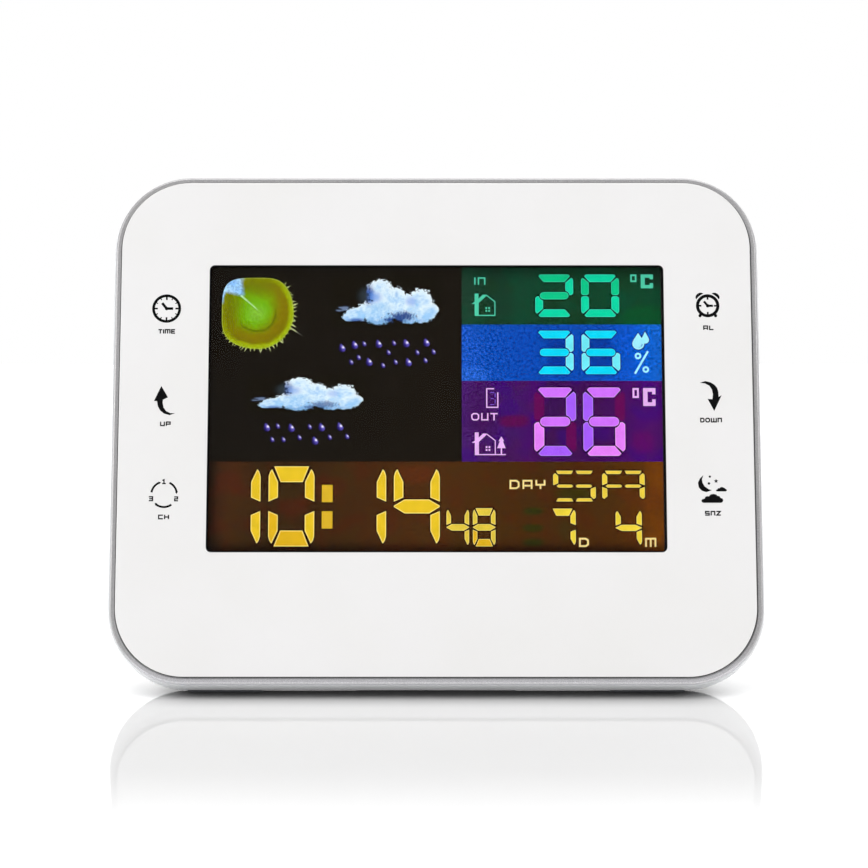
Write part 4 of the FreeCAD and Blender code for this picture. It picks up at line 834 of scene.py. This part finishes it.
# Rain: drops in two sizes, violet with a pale glint along the upper right.
LARGE_DROPS = [(-28.0, 18.4), (-24.3, 19.3), (-17.2, 19.6), (-9.1, 19.8), (-3.1, 20.0), (-20.0, 14.2),
               (-8.4, 14.1), (-50.0, -5.3), (-42.8, -5.5), (-33.9, -5.3), (-28.5, -5.1), (-35.8, -9.3)]
SMALL_DROPS = [(-21.5, 19.6), (-12.7, 19.8), (-14.3, 17.0), (-5.8, 17.0), (-1.0, 17.2), (-23.1, 15.5),
               (-25.3, 14.1), (-15.9, 13.1), (-12.2, 14.1), (-3.4, 14.6), (-46.8, -5.0), (-37.4, -5.2),
               (-48.4, -9.0), (-45.1, -9.0), (-40.4, -8.4), (-31.5, -8.3), (-26.4, -8.1)]

rain = FlatWork()
within = rain.bm.loops.layers.uv.new("within")      # place inside the drop, -1 to 1
for drops, half in ((LARGE_DROPS, 0.96), (SMALL_DROPS, 0.62)):
    for x, y in drops:
        ring = bmesh.ops.create_circle(rain.bm, cap_ends=True, segments=24, radius=half,
                                       matrix=Matrix.Translation((x, y - 0.42 * half, 0)))["verts"]
        for corner in ring:
            up = (corner.co.y - (y - 0.42 * half)) / half
            if up > 0:
                corner.co.x = x + (corner.co.x - x) * (1 - 0.5 * up) - 0.4 * half * up ** 1.5
                corner.co.y += 0.5 * half * up ** 2
        for face in ring[0].link_faces:
            for loop in face.loops:
                loop[within].uv = ((loop.vert.co.x - x) / half, (loop.vert.co.y - y) / half)
        rain.coloured()
wet = Paint("rain_picture")
_, u, v = front_place(wet, "within")
up_right = u * 0.86 + v * 0.5
colour = wet.mix(up_right.rise(-1.0, 0.1), srgb(34, 26, 90), srgb(88, 76, 184))
glint = 1 - ((((u - 0.3) / 0.62) ** 2 + ((v - 0.06) / 0.62) ** 2) ** 0.5).rise(0.15, 1.0)
colour = wet.mix(glint, colour, srgb(246, 242, 255))
into_cell(rain, "picture_rain", PICTURE_DEPTH, lit(wet, colour))


# ---- Lit segments -------------------------------------------------------------------------
# Numbers, letters and small signs of the display. Where the crystal opens, the film's colour shines
# through brightly. Each figure is made of separate segments, as the electrodes are.
GREEN_LIT, GREEN_DIM = srgb(10, 212, 164), srgb(8, 196, 136)
CYAN_LIT, CYAN_PALE = srgb(10, 215, 246), srgb(112, 232, 244)
PINK, ROSE, VIOLET, UNLIT_RED = srgb(206, 112, 248), srgb(230, 128, 248), srgb(165, 92, 248), srgb(100, 2, 84)
AMBER, AMBER_WARM, AMBER_RIM = srgb(231, 194, 42), srgb(226, 180, 36), srgb(252, 226, 124)
GREEN_SIGN, CYAN_SIGN = srgb(82, 206, 170), srgb(160, 236, 252)
PINK_SIGN, AMBER_SIGN = srgb(232, 180, 242), srgb(244, 222, 146)
GREEN_SHADE, BLUE_SHADE = srgb(8, 36, 24), srgb(8, 36, 120)
PURPLE_SHADE, BROWN_SHADE = srgb(36, 8, 58), srgb(36, 17, 8)
TRIM = 0.07                         # the etched segments come out this much smaller all round
SHADE_WIDTH = 0.5                   # width of the dark line round each segment

# A figure's segments go by letters: a at the top, on round by b to f, and g in the middle.
FIGURES = {"0": "abcdef", "1": "bc", "2": "abged", "3": "abgcd", "4": "fgbc", "6": "afgedc", "7": "abc",
           "8": "abcdefg", "S": "afgcd", "A": "fabegc"}


def mirrored(points, w, h, x=False, y=False):
    """An outline turned over within its figure's box."""
    return [(w - px if x else px, h - py if y else py) for px, py in points]


def scaled(w, h, *points):
    """An outline drawn in shares of its figure's box."""
    return [(px * w, py * h) for px, py in points]


def seven(w, h, a, f, g):
    """All segments of a figure, from its top, its upper left and its middle one."""
    return {"a": a, "d": mirrored(a, w, h, y=True), "f": f, "b": mirrored(f, w, h, x=True),
            "e": mirrored(f, w, h, y=True), "c": mirrored(f, w, h, x=True, y=True), "g": g}


def soft_segments(w, h, t, middle):
    """Bars with mitred joints and a rounded middle bar; middle tells whether that bar is lit."""
    gap, mid = 0.11, h / 2
    a = [(0.34 * t + gap, h - 0.25 * t), (0.62 * t, h), (w - 0.62 * t, h), (w - 0.34 * t - gap, h - 0.25 * t),
         (w - t - gap, h - t), (t + gap, h - t)]
    if middle:
        end = [(t, mid + 0.6 * t), (0.76 * t, mid + 0.48 * t), (0.6 * t, mid + 0.31 * t),
               (0.5 * t, mid + gap)]
    else:
        end = [(t, mid + 0.25 * t), (0.75 * t, mid + gap)]
    f = ([(0, h - 0.66 * t), (0.25 * t, h - 0.36 * t - gap), (t, h - t - gap)] + end
         + [(0.25 * t, mid + gap), (0, mid + 0.25 * t)])
    g = ([(0.56 * t, mid)]
         + [(t * (1.03 - 0.47 * math.cos(s)), mid + 0.47 * t * math.sin(s)) for s in (0.5, 1.0)]
         + [(1.03 * t, mid + 0.48 * t)])
    g = g + [(w - px, py) for px, py in reversed(g)]
    g = g + [(px, h - py) for px, py in reversed(g[1:-1])]
    return seven(w, h, a, f, g)


def pointed_segments(w, h):
    """Bars with pointed ends and slanted joints."""
    return seven(
        w, h, scaled(w, h, (0.115, 1), (0.885, 1), (0.745, 0.797), (0.26, 0.797)),
        scaled(w, h, (0.08, 0.968), (0.03, 0.93), (0, 0.875), (0, 0.553), (0.215, 0.607), (0.215, 0.803)),
        scaled(w, h, (0, 0.49), (0, 0.51), (0.235, 0.588), (0.765, 0.588), (1, 0.51), (1, 0.49),
               (0.765, 0.408), (0.235, 0.408)))


def split_segments(w, h):
    """Bars whose top, middle and bottom are each in two halves, for the weekday."""
    bars = seven(
        w, h, scaled(w, h, (0.065, 1), (0.48, 1), (0.43, 0.88), (0.115, 0.88)),
        scaled(w, h, (0, 0.86), (0.05, 0.925), (0.13, 0.83), (0.13, 0.585), (0, 0.515)),
        scaled(w, h, (0.075, 0.5), (0.13, 0.556), (0.43, 0.556), (0.48, 0.5), (0.43, 0.444), (0.13, 0.444)))
    return bars | {letter: [bars[letter], mirrored(bars[letter], w, h, x=True)] for letter in "adg"}


def paler(tint, share=0.3):
    """A lighter tint for the rims."""
    return tuple(part + (1 - part) * share * part ** 0.3 for part in tint[:3]) + (1,)


def figure(work, segments, shown, x0, y0, tint, rim_width=0.16, rim=None, shade=None):
    """Draws the segments of one figure with a paler rim, and a dark line round each in the layer behind.
    The tint is a colour, or colours by segment."""
    for letter in shown:
        shapes = segments[letter]
        for points in (shapes if isinstance(shapes[0], list) else [shapes]):
            colour = tint.get(letter, tint["other"]) if isinstance(tint, dict) else tint
            placed = [(x0 + x, y0 + y) for x, y in points]
            face = work.polygon(placed, colour)
            bmesh.ops.inset_individual(work.bm, faces=[face], thickness=TRIM, use_even_offset=True)
            cut_off = {f for v in face.verts for f in v.link_faces} - {face}
            bmesh.ops.delete(work.bm, geom=list(cut_off), context="FACES")
            if rim_width:
                bmesh.ops.inset_individual(work.bm, faces=[face], thickness=rim_width, use_even_offset=True)
                for border in {f for v in face.verts for f in v.link_faces} - {face}:
                    border[work.done] = 1
                    for loop in border.loops:
                        loop[work.tint_layer] = rim or paler(colour)
            if shade:
                shades.stroke(placed, SHADE_WIDTH, shade, closed=True)


def glowing(name, depth=0.1):
    """Segments that shine in the tint they were drawn with."""
    paint = Paint(name)
    place, _, _ = front_place(paint)
    tint = paint.node("Attribute", {"attribute_name": "tint"}, out="Color")
    slow = paint.noise(0.35, detail=2, place=place).rise(0.3, 0.7)
    fine = paint.noise(2.2, detail=3, place=place, roughness=0.8).rise(0.36, 0.64)
    return lit(paint, paint.tone(tint, slow * depth + fine * depth + (1 - depth)))


def degree_and_c(work, x0, y0, high, tint, thin, thick):
    """The degree sign as a small upright box, and a square C."""
    x1, y1 = x0 + thin / 2, y0 + high * 0.45 + thin / 2
    x2, y2 = x0 + 1.85 - thin / 2, y0 + high - thin / 2
    work.stroke([(x1, y1), (x1, y2), (x2, y2), (x2, y1)], thin, tint, closed=True)
    left, right, top = x0 + 3.1, x0 + 6.75, y0 + high
    inner, tip = left + thick * 1.2, right - 1.0
    work.polygon([(left, y0), (right, y0), (right, y0 + high * 0.37), (tip, y0 + high * 0.37),
                  (tip, y0 + thick), (inner, y0 + thick), (inner, y0 + high - thick),
                  (tip, y0 + high - thick), (tip, y0 + high * 0.65), (right, y0 + high * 0.65),
                  (right, top), (left, top)], tint, rounded=(0, 1, 10, 11), radius=0.12)


def house(work, x, y, tint, ground=6.15):
    """A house sign: thick left wall with chimney and roof, outlined right side, window of four panes."""
    work.polygon(shifted((x, y), (
        (0, 0), (1.2, 0), (1.2, 3.9), (3.35, 5.95), (3.0, 6.35), (2.4, 6.35), (1.15, 5.2), (1.15, 6.75),
        (0, 6.75), (0, 4.3), (-0.9, 3.65), (0, 3.65))), tint)
    work.stroke(shifted((x, y), ((2.3, 6.25), (3.5, 6.25), (6.0, 4.3), (6.0, 0.3))), 0.28, tint)
    work.bar(x + 1.2, y, x + ground, y + 0.32, tint)
    for left in (x + 3.2, x + 4.04):
        for low in (y + 1.25, y + 2.11):
            work.bar(left, low, left + 0.5, low + 0.55, tint)


signs, shades = FlatWork(), FlatWork()

# indoor temperature
word(signs, "IN", 11.0, 14.4, 37.3, 2.2, GREEN_SIGN, weight=1.1)
house(signs, 11.15, 27.85, GREEN_SIGN)
for text, x, tint in (("2", 29.05, {"other": GREEN_LIT, "a": GREEN_DIM, "g": GREEN_DIM}),
                      ("0", 42.65, {"other": GREEN_LIT, "b": GREEN_DIM, "f": GREEN_DIM})):
    bars = soft_segments(11.4, 13.0, 2.45, "g" in FIGURES[text])
    figure(signs, bars, FIGURES[text], x, 27.46, tint, shade=GREEN_SHADE)
degree_and_c(signs, 57.35, 36.2, 4.2, GREEN_SIGN, 0.5, 1.0)

# humidity
for text, x, tint in (("3", 28.9, {"other": CYAN_LIT, "b": CYAN_PALE, "c": CYAN_PALE}),
                      ("6", 42.65, {"other": CYAN_PALE, "a": CYAN_LIT, "d": CYAN_LIT, "g": CYAN_LIT})):
    bars = soft_segments(11.5, 13.2, 2.45, "g" in FIGURES[text])
    figure(signs, bars, FIGURES[text], x, 10.28, tint, shade=BLUE_SHADE)
for x, y, r, tip in ((61.55, 20.65, 1.15, 23.15), (59.5, 19.5, 1.8, 22.75)):
    outline = [around((x, y), r, angle) for angle in range(145, 396, 25)] + [(x - 0.05, tip)]
    signs.polygon(outline, CYAN_SIGN)
    shades.stroke(outline, SHADE_WIDTH, BLUE_SHADE, closed=True)
signs.arc(59.5, 19.5, 1.0, 1.28, start=-75, sweep=70, tint=srgb(36, 110, 196))
signs.stroke([(58.4, 10.5), (62.3, 17.2)], 0.62, CYAN_SIGN)
signs.arc(59.35, 15.8, 0.4, 0.98, tint=CYAN_SIGN)
signs.arc(61.6, 11.75, 0.4, 0.98, tint=CYAN_SIGN)

# outdoor temperature
for text, x, tint in (("2", 28.5, {"other": PINK, "b": VIOLET, "d": VIOLET, "e": ROSE}),
                      ("6", 42.9, {"other": PINK, "f": VIOLET, "e": VIOLET, "c": ROSE, "d": ROSE})):
    bars = soft_segments(12.5, 20.5, 3.1, True)
    figure(signs, bars, FIGURES[text], x, -14.05, tint, rim_width=0.2, shade=PURPLE_SHADE)
    figure(signs, bars, "fc" if text == "2" else "b", x, -14.05, UNLIT_RED, rim_width=0)
degree_and_c(signs, 57.6, 0.85, 5.35, PINK_SIGN, 0.55, 1.1)
word(signs, "OUT", 10.05, 17.85, -3.45, 2.2, PINK_SIGN, weight=1.1)
signs.stroke([(16.8, 6.0), (14.65, 6.0), (14.65, 0.45), (17.9, 0.45), (17.9, 4.9)], 0.36, PINK_SIGN)
for bar in ((15.7, 4.75, 16.9, 5.0), (15.9, 2.95, 16.7, 3.2), (15.7, 1.15, 16.9, 1.4),
            (17.0, 3.4, 17.25, 4.6), (17.0, 1.6, 17.25, 2.8)):
    signs.bar(*bar, srgb(124, 84, 206))
house(signs, 11.1, -13.75, PINK_SIGN, ground=9.1)
signs.polygon([(18.9, -8.2), (19.75, -9.6), (19.35, -9.6), (20.15, -11.7), (19.1, -11.7), (19.1, -13.45),
               (18.7, -13.45), (18.7, -11.7), (17.65, -11.7), (18.45, -9.6), (18.05, -9.6)], PINK_SIGN)


# time, weekday and date
def time_figure(text, x, w=13.6, y=-40.72, h=23.72, rim_width=0.26, tint=AMBER):
    """A figure with pointed bars, a little warmer towards its lower left."""
    tints = {"other": tint, "e": AMBER_WARM, "d": AMBER_WARM}
    figure(signs, pointed_segments(w, h), FIGURES[text], x, y, tints, rim_width, AMBER_RIM, BROWN_SHADE)


for text, x in (("1", -65.2), ("0", -49.4), ("1", -28.4), ("4", -12.7)):
    time_figure(text, x)
for low in (-27.65, -35.4):
    left, right, top = -33.7, -30.55, low + 5.1
    signs.bar(left, low, right, top, srgb(218, 178, 46))
    shades.stroke([(left, low), (right, low), (right, top), (left, top)], SHADE_WIDTH, BROWN_SHADE,
                  closed=True)
for text, x in (("4", 2.7), ("8", 10.4)):
    time_figure(text, x, 6.75, -40.7, 11.35, 0.14, srgb(224, 198, 66))
time_figure("7", 32.8, 7.8, -40.65, 11.2, 0.14, srgb(236, 212, 62))
time_figure("4", 52.1, 7.8, -40.6, 10.85, 0.14, srgb(236, 212, 62))
bars = split_segments(12.6, 9.2)
for text, x in (("S", 33.95), ("A", 48.3)):
    figure(signs, bars, FIGURES[text], x, -27.5, srgb(234, 206, 66), 0.1, AMBER_RIM, BROWN_SHADE)
word(signs, "DAY", 21.2, 31.8, -23.75, 2.65, AMBER_SIGN, weight=1.15)
word(signs, "D", 41.4, 44.35, -40.75, 2.6, AMBER_SIGN, weight=1.25)
word(signs, "M", 60.75, 63.95, -40.75, 2.6, AMBER_SIGN, weight=1.2)
into_cell(shades, "segment_edges", PICTURE_DEPTH, glowing("segment_shadow"))
into_cell(signs, "display_signs", SEGMENT_DEPTH, glowing("segment_light"))


# ---- Liquid crystal glass and its rubber strip --------------------------------------------
# Two sheets of glass under dark polarising film, and along their top edge the striped rubber strip
# whose carbon layers carry the signals from the main board.
ZEBRA_PITCH = 0.3       # millimetres from one carbon layer to the next

cell = Paint("polarised_glass")
clouding = cell.noise(160, detail=3)
finish_node("lcd_glass", cell.surface(
    Base_Color=cell.mix(clouding.rise(0.3, 0.7), srgb(8, 8, 9), srgb(13, 12, 12)),
    Roughness=clouding * 0.08 + 0.1, Normal=cell.bump(clouding, 0.000004)))

zebra = Paint("striped_rubber")
layer = (zebra.along(RIGHT) / MM).repeat(ZEBRA_PITCH)
foam = zebra.noise(2400, detail=2)
finish_node("lcd_connector", zebra.surface(
    Base_Color=zebra.mix((layer - ZEBRA_PITCH / 2).size().rise(0.06, 0.09), srgb(40, 40, 42),
                         zebra.mix(foam, srgb(168, 166, 160), srgb(148, 146, 142))),
    Roughness=foam * 0.1 + 0.6, Normal=zebra.bump(foam, 0.00002)))


# ---- Films, light guide and lamps of the backlight ----------------------------------------
# Behind the glass lie a film printed in the fields' colours, a white diffuser, a clear acrylic guide
# with white dots on its back and a white reflector. Eight diodes on a white strip board shine into
# the guide from below.
DOT_PITCH, LED_PITCH = 0.0016, 0.015

tinted = Paint("tinted_film")
across, height = tinted.along(RIGHT) / MM, (tinted.along(UP) - window_height) / MM
ink_grain = tinted.noise(1800, detail=3, roughness=0.7)
tint = tinted.mix(height.rise(BLUE_Y, BLUE_Y + 0.1), srgb(146, 66, 196), srgb(54, 112, 214))
tint = tinted.mix(height.rise(GREEN_Y, GREEN_Y + 0.1), tint, srgb(40, 164, 112))
tint = tinted.mix(across.rise(SPLIT_X, SPLIT_X + 0.1), srgb(30, 29, 30), tint)
tint = tinted.mix(height.rise(PURPLE_Y, PURPLE_Y + 0.1), srgb(214, 154, 52), tint)
finish_node("colour_film", tinted.surface(
    Base_Color=tinted.tone(tint, ink_grain * 0.16 + 0.88), Roughness=ink_grain * 0.1 + 0.4,
    Normal=tinted.bump(ink_grain, 0.000006)))
finish_node("diffuser_film", moulded(
    "matt_film", srgb(234, 235, 236), 0.62, grain=5200, depth=0.000012, patch=0.03))
finish_node("reflector_sheet", moulded(
    "reflector", srgb(244, 244, 243), 0.38, grain=3600, depth=0.000008, patch=0.02))

guide = Paint("guide_acrylic")
flat = guide.node("CombineXYZ", values={0: guide.along(RIGHT), 1: guide.along(UP)})
dot = guide.node("TexVoronoi", values={"Vector": flat, "Scale": 1 / DOT_PITCH, "Randomness": 0.0})
dots = 1 - dot.rise(0.22, 0.3)
finish_node("light_guide", guide.surface(
    Base_Color=guide.mix(dots, srgb(214, 232, 234), srgb(248, 250, 250)),
    Alpha=dots * 0.35 + 0.4, Roughness=dots * 0.3 + 0.08))


PAD_PITCH, BLOCK_WIDE, BLOCK_HIGH = 0.00127, 0.00508, 0.00254      # metres


def circuit_board(name, mask, pour, pads=0.58):
    """Glass fibre board under solder mask: copper areas with straight edges show lighter through it,
    between rows of tinned solder points."""
    paint = Paint(name)
    board = paint.node("CombineXYZ", values={0: paint.along(RIGHT), 1: paint.along(UP)})
    squares = paint.node("VectorMath", {"operation": "SNAP"},
                         {0: board, 1: (PAD_PITCH, PAD_PITCH, PAD_PITCH)})
    blocks = paint.node("VectorMath", {"operation": "SNAP"},
                        {0: board, 1: (BLOCK_WIDE, BLOCK_HIGH, BLOCK_HIGH)})
    copper = paint.noise(190, detail=1, place=squares).rise(0.49, 0.51)
    chosen = paint.noise(420, detail=1, place=blocks).rise(pads, pads + 0.02)
    point = paint.node("TexVoronoi", values={"Vector": board, "Scale": 1 / PAD_PITCH, "Randomness": 0.0})
    solder = (1 - point.rise(0.26, 0.34)) * chosen
    weave = paint.noise(3200, detail=2, place=board)
    colour = paint.tone(paint.mix(copper, mask, pour), weave * 0.12 + 0.93)
    return paint.surface(
        Base_Color=paint.mix(solder, colour, (0.62, 0.62, 0.6, 1)), Metallic=solder,
        Roughness=weave * 0.08 + 0.28 - solder * 0.06, Coat_Weight=0.2, Coat_Roughness=0.15,
        Normal=paint.bump(copper * 0.4 + solder + weave * 0.1, 0.00004))


finish_node("backlight_board", circuit_board(
    "white_mask", srgb(224, 226, 222), srgb(240, 241, 238), pads=0.7))

diode = Paint("white_diode")
from_side = (diode.along(RIGHT).repeat(LED_PITCH) - LED_PITCH / 2).size()
top_face = diode.along(UP).rise(reach("backlight_leds", UP) - 0.0002, reach("backlight_leds", UP) - 0.0001)
gel = diode.noise(1500, detail=2)
phosphor = (1 - from_side.rise(0.00125, 0.00135)) * top_face
finish_node("backlight_leds", diode.surface(
    Base_Color=diode.mix(phosphor, srgb(238, 238, 234),
                         diode.mix(gel, srgb(236, 214, 96), srgb(226, 200, 70))),
    Roughness=gel * 0.1 + 0.35 - phosphor * 0.15, Normal=diode.bump(gel, 0.00001)))


# ---- Tray and circuit boards --------------------------------------------------------------
# A white ABS tray holds the display's layers and carries the main board; a narrow touch board
# stands behind each column of symbols. The boards are glass fibre with green solder mask.
finish_node("lcd_carrier", moulded(
    "tray_abs", srgb(230, 230, 226), 0.5, grain=2000, depth=0.00002, patch=0.04))
green_board = circuit_board("green_mask", srgb(14, 92, 50), srgb(34, 124, 66))
for name in ("main_board", "touch_board_left", "touch_board_right"):
    finish_node(name, green_board)


def plated(name, colour, rough, grain=600, stretch=(1, 1, 1), dull=0.7, **sockets):
    """Plated, drawn or ground metal: fine tool lines, and duller patches where it has been touched."""
    paint = Paint(name)
    stretched = paint.node("Mapping", values={"Vector": paint.where(), "Scale": stretch})
    lines = paint.noise(grain, detail=3, roughness=0.7, place=stretched)
    patches = paint.noise(140, detail=3).rise(0.35, 0.7)
    worn = tuple(part * dull for part in colour[:3]) + (1,)
    return paint.surface(
        Base_Color=paint.mix(patches * 0.5 + lines * 0.5, colour, worn), Metallic=1.0,
        Roughness=lines * 0.14 + patches * 0.12 + rough, Normal=paint.bump(lines, 0.000008), **sockets)


# ---- Screws, springs, contact plates and hinge pin ----------------------------------------
# Zinc plated self tapping screws, nickel plated touch springs, cell springs and contact plates, and
# the ground steel pin of the stand leg, whose grinding lines run round it.
zinc = plated("zinc_plate", (0.60, 0.60, 0.58, 1), 0.22, grain=900)
for name in ("board_screws", "carrier_screws", "case_screws"):
    finish_node(name, zinc)
nickel = plated("nickel_plate", (0.76, 0.74, 0.69, 1), 0.12, grain=700)
for name in ("touch_springs", "battery_springs", "battery_plates"):
    finish_node(name, nickel)
finish_node("stand_pin", plated("ground_steel", (0.56, 0.57, 0.58, 1), 0.2, grain=300, stretch=(14, 1, 1)))


# ---- Parts on the main board --------------------------------------------------------------
# Epoxy cap over the bare controller, radio receiver with a tinned can and a copper wire aerial,
# three sleeved capacitors, buzzer, air sensor behind its grille, mains socket and two small switches.
epoxy = Paint("black_epoxy")
pool = epoxy.noise(260, detail=2)
finish_node("controller_cap", epoxy.surface(
    Base_Color=epoxy.mix(pool, srgb(14, 14, 15), srgb(26, 26, 27)), Roughness=pool * 0.12 + 0.14,
    Normal=epoxy.bump(pool, 0.00008)))

CAN_SKIRT, RECEIVER_LEGS = 0.0022, 0.0030       # below the can's top: the receiver board's two faces
SHARP = 0.00005                                 # metres over which one material gives way to another
receiver = Paint("tinned_can")
below_top = reach("receiver_module", BACK) - receiver.along(BACK)
fibre = (below_top.rise(CAN_SKIRT - SHARP, CAN_SKIRT)
         * (1 - below_top.rise(RECEIVER_LEGS, RECEIVER_LEGS + SHARP)))
stretched = receiver.node("Mapping", values={"Vector": receiver.where(), "Scale": (1, 9, 9)})
drawn = receiver.noise(800, detail=3, roughness=0.7, place=stretched)
finish_node("receiver_module", receiver.surface(
    Base_Color=receiver.mix(fibre, receiver.mix(drawn, (0.66, 0.66, 0.65, 1), (0.5, 0.5, 0.49, 1)),
                            receiver.mix(drawn, srgb(20, 70, 120), srgb(28, 84, 138))),
    Metallic=1 - fibre, Roughness=drawn * 0.14 + 0.2, Normal=receiver.bump(drawn, 0.00001)))
finish_node("receiver_antenna", plated("enamelled_copper", (0.72, 0.32, 0.14, 1), 0.2, grain=1200, dull=0.8,
                                       Coat_Weight=0.6, Coat_Roughness=0.1))

sleeve = Paint("capacitor_sleeve")
shrink = sleeve.noise(900, detail=2)
lid = sleeve.along(BACK).rise(reach("capacitors", BACK) - 0.00012, reach("capacitors", BACK) - 0.00006)
across = sleeve.along(RIGHT) / MM
# one pale stripe down the right side of each sleeve
minus_stripe = across.rise(39.9, 40.0) * (1 - across.rise(40.55, 40.6)) + across.rise(47.1, 47.2)
skin = sleeve.mix(minus_stripe, sleeve.mix(shrink, srgb(34, 38, 62), srgb(46, 50, 78)), srgb(176, 180, 190))
finish_node("capacitors", sleeve.surface(
    Base_Color=sleeve.mix(lid, skin, (0.66, 0.67, 0.68, 1)), Metallic=lid, Roughness=shrink * 0.1 + 0.28,
    Normal=sleeve.bump(shrink, 0.00002)))

finish_node("buzzer", moulded("buzzer_case", srgb(30, 30, 32), 0.45, grain=2600, patch=0.2))
finish_node("air_sensor", moulded("sensor_case", srgb(236, 237, 238), 0.5, grain=2600, patch=0.03))
finish_node("power_jack", moulded("socket_nylon", srgb(28, 28, 30), 0.4, grain=2400, patch=0.2))
finish_node("jack_pin", plated("plated_brass", (0.80, 0.70, 0.45, 1), 0.14, grain=900, stretch=(1, 6, 1)))
switch_case = moulded("switch_nylon", srgb(34, 34, 36), 0.45, grain=3000, patch=0.2)
finish_node("reset_switch", switch_case)
finish_node("dimmer_body", switch_case)
key_grey = moulded("key_abs", srgb(176, 178, 182), 0.42, grain=2600, patch=0.05)
finish_node("reset_button", key_grey)
finish_node("dimmer_knob", key_grey)


# ---- Touch cables and battery leads -------------------------------------------------------
# Flat white cables run from the touch boards to the main board; one red and one black wire bring
# the cells' current to it.
CABLE_PITCH = 1.0           # millimetres between the cable's wires
LEAD_SPLIT = -0.042         # metres to the left of the middle: the black wire ends and the red one starts

cable = Paint("flat_cable")
wire = ((cable.along(UP) / MM).repeat(CABLE_PITCH) - CABLE_PITCH / 2).size()
scuff = cable.noise(400, detail=3)
finish_node("touch_cables", cable.surface(
    Base_Color=cable.mix(wire.rise(0.24, 0.3), srgb(206, 208, 206),
                         cable.mix(scuff, srgb(236, 236, 232), srgb(224, 224, 220))),
    Roughness=scuff * 0.1 + 0.4, Normal=cable.bump(1 - wire.rise(0.1, 0.4), 0.00005)))

lead = Paint("wire_sleeve")
shine = lead.noise(700, detail=2)
finish_node("battery_leads", lead.surface(
    Base_Color=lead.mix(lead.along(RIGHT).rise(LEAD_SPLIT, LEAD_SPLIT + 0.0002),
                        lead.mix(shine, srgb(22, 22, 24), srgb(34, 34, 36)),
                        lead.mix(shine, srgb(176, 22, 20), srgb(152, 16, 16))),
    Roughness=shine * 0.14 + 0.32, Normal=lead.bump(shine, 0.00002)))


# ---- Cells --------------------------------------------------------------------------------
# Three small dry cells in plain printed sleeves with one coloured band at the raised end, the middle
# cell turned round. The sleeve stops short of both steel ends.
CELL_MIDDLE, CELL_HALF, CELL_PITCH = -56.25, 22.25, 11.2       # millimetres
BAND_FROM, LINE_FROM, LINE_TO = 8.0, 6.9, 7.4                   # along the cell from its middle
BAND_GREEN = srgb(40, 128, 92)

dry_cell = Paint("cell_sleeve")
cells_height = (reach("battery_cells", UP) - reach("battery_cells", -UP)) / 2
from_middle = ((dry_cell.along(UP) - cells_height) / MM).size()
middle_row = 1 - from_middle.rise(CELL_PITCH / 2 - 0.1, CELL_PITCH / 2)
along_cell = (dry_cell.along(RIGHT) / MM - CELL_MIDDLE) * (1 - middle_row * 2)
foil = dry_cell.noise(800, detail=3, roughness=0.7)
bare_steel = along_cell.size().rise(CELL_HALF - 1.2, CELL_HALF - 1.15)
band = along_cell.rise(BAND_FROM, BAND_FROM + 0.05)
thin_line = along_cell.rise(LINE_FROM, LINE_FROM + 0.05) * (1 - along_cell.rise(LINE_TO, LINE_TO + 0.05))
bare_foil = dry_cell.mix(foil, srgb(206, 209, 212), srgb(188, 191, 196))
print_colour = dry_cell.mix(thin_line, dry_cell.mix(band, bare_foil, BAND_GREEN), BAND_GREEN)
finish_node("battery_cells", dry_cell.surface(
    Base_Color=dry_cell.mix(bare_steel, print_colour, (0.64, 0.64, 0.62, 1)),
    Metallic=bare_steel * 0.7 + 0.3, Roughness=foil * 0.12 + 0.24, Coat_Weight=0.3, Coat_Roughness=0.1,
    Normal=dry_cell.bump(foil, 0.00001)))


# ---- Rear cover, stand leg and battery door -----------------------------------------------
# White ABS from three tools. Their outsides were spark eroded to a fine even grain; hands polish it
# a little brighter in patches.
COVER_WHITE = srgb(232, 233, 235)


def eroded(name, grain):
    """White ABS with the tool's spark eroded grain, slow changes of tone, and shinier patches."""
    paint = Paint(name)
    pits = paint.noise(grain, detail=3, roughness=0.65)
    flow = paint.noise(14, detail=2)
    handled = paint.noise(38, detail=3).rise(0.45, 0.75)
    dark = tuple(part * 0.96 for part in COVER_WHITE[:3]) + (1,)
    return paint.surface(
        Base_Color=paint.mix(flow.rise(0.3, 0.7) * 0.5 + pits * 0.5, COVER_WHITE, dark),
        Roughness=pits * 0.14 + 0.38 - handled * 0.07, Normal=paint.bump(pits, 0.000045))


finish_node("rear_cover", eroded("cover_abs", 1700))
finish_node("stand_leg", eroded("leg_abs", 1900))
finish_node("battery_door", eroded("door_abs", 1800))


# ---- Foot bead and pads -------------------------------------------------------------------
# Soft grey rubber: a bead pressed into the leg's lower edge, and pads stuck under the cover.
rubber = moulded("foot_rubber", srgb(120, 122, 126), 0.75, grain=2600, depth=0.00005, patch=0.12)
finish_node("stand_foot", rubber)
finish_node("base_feet", rubber)
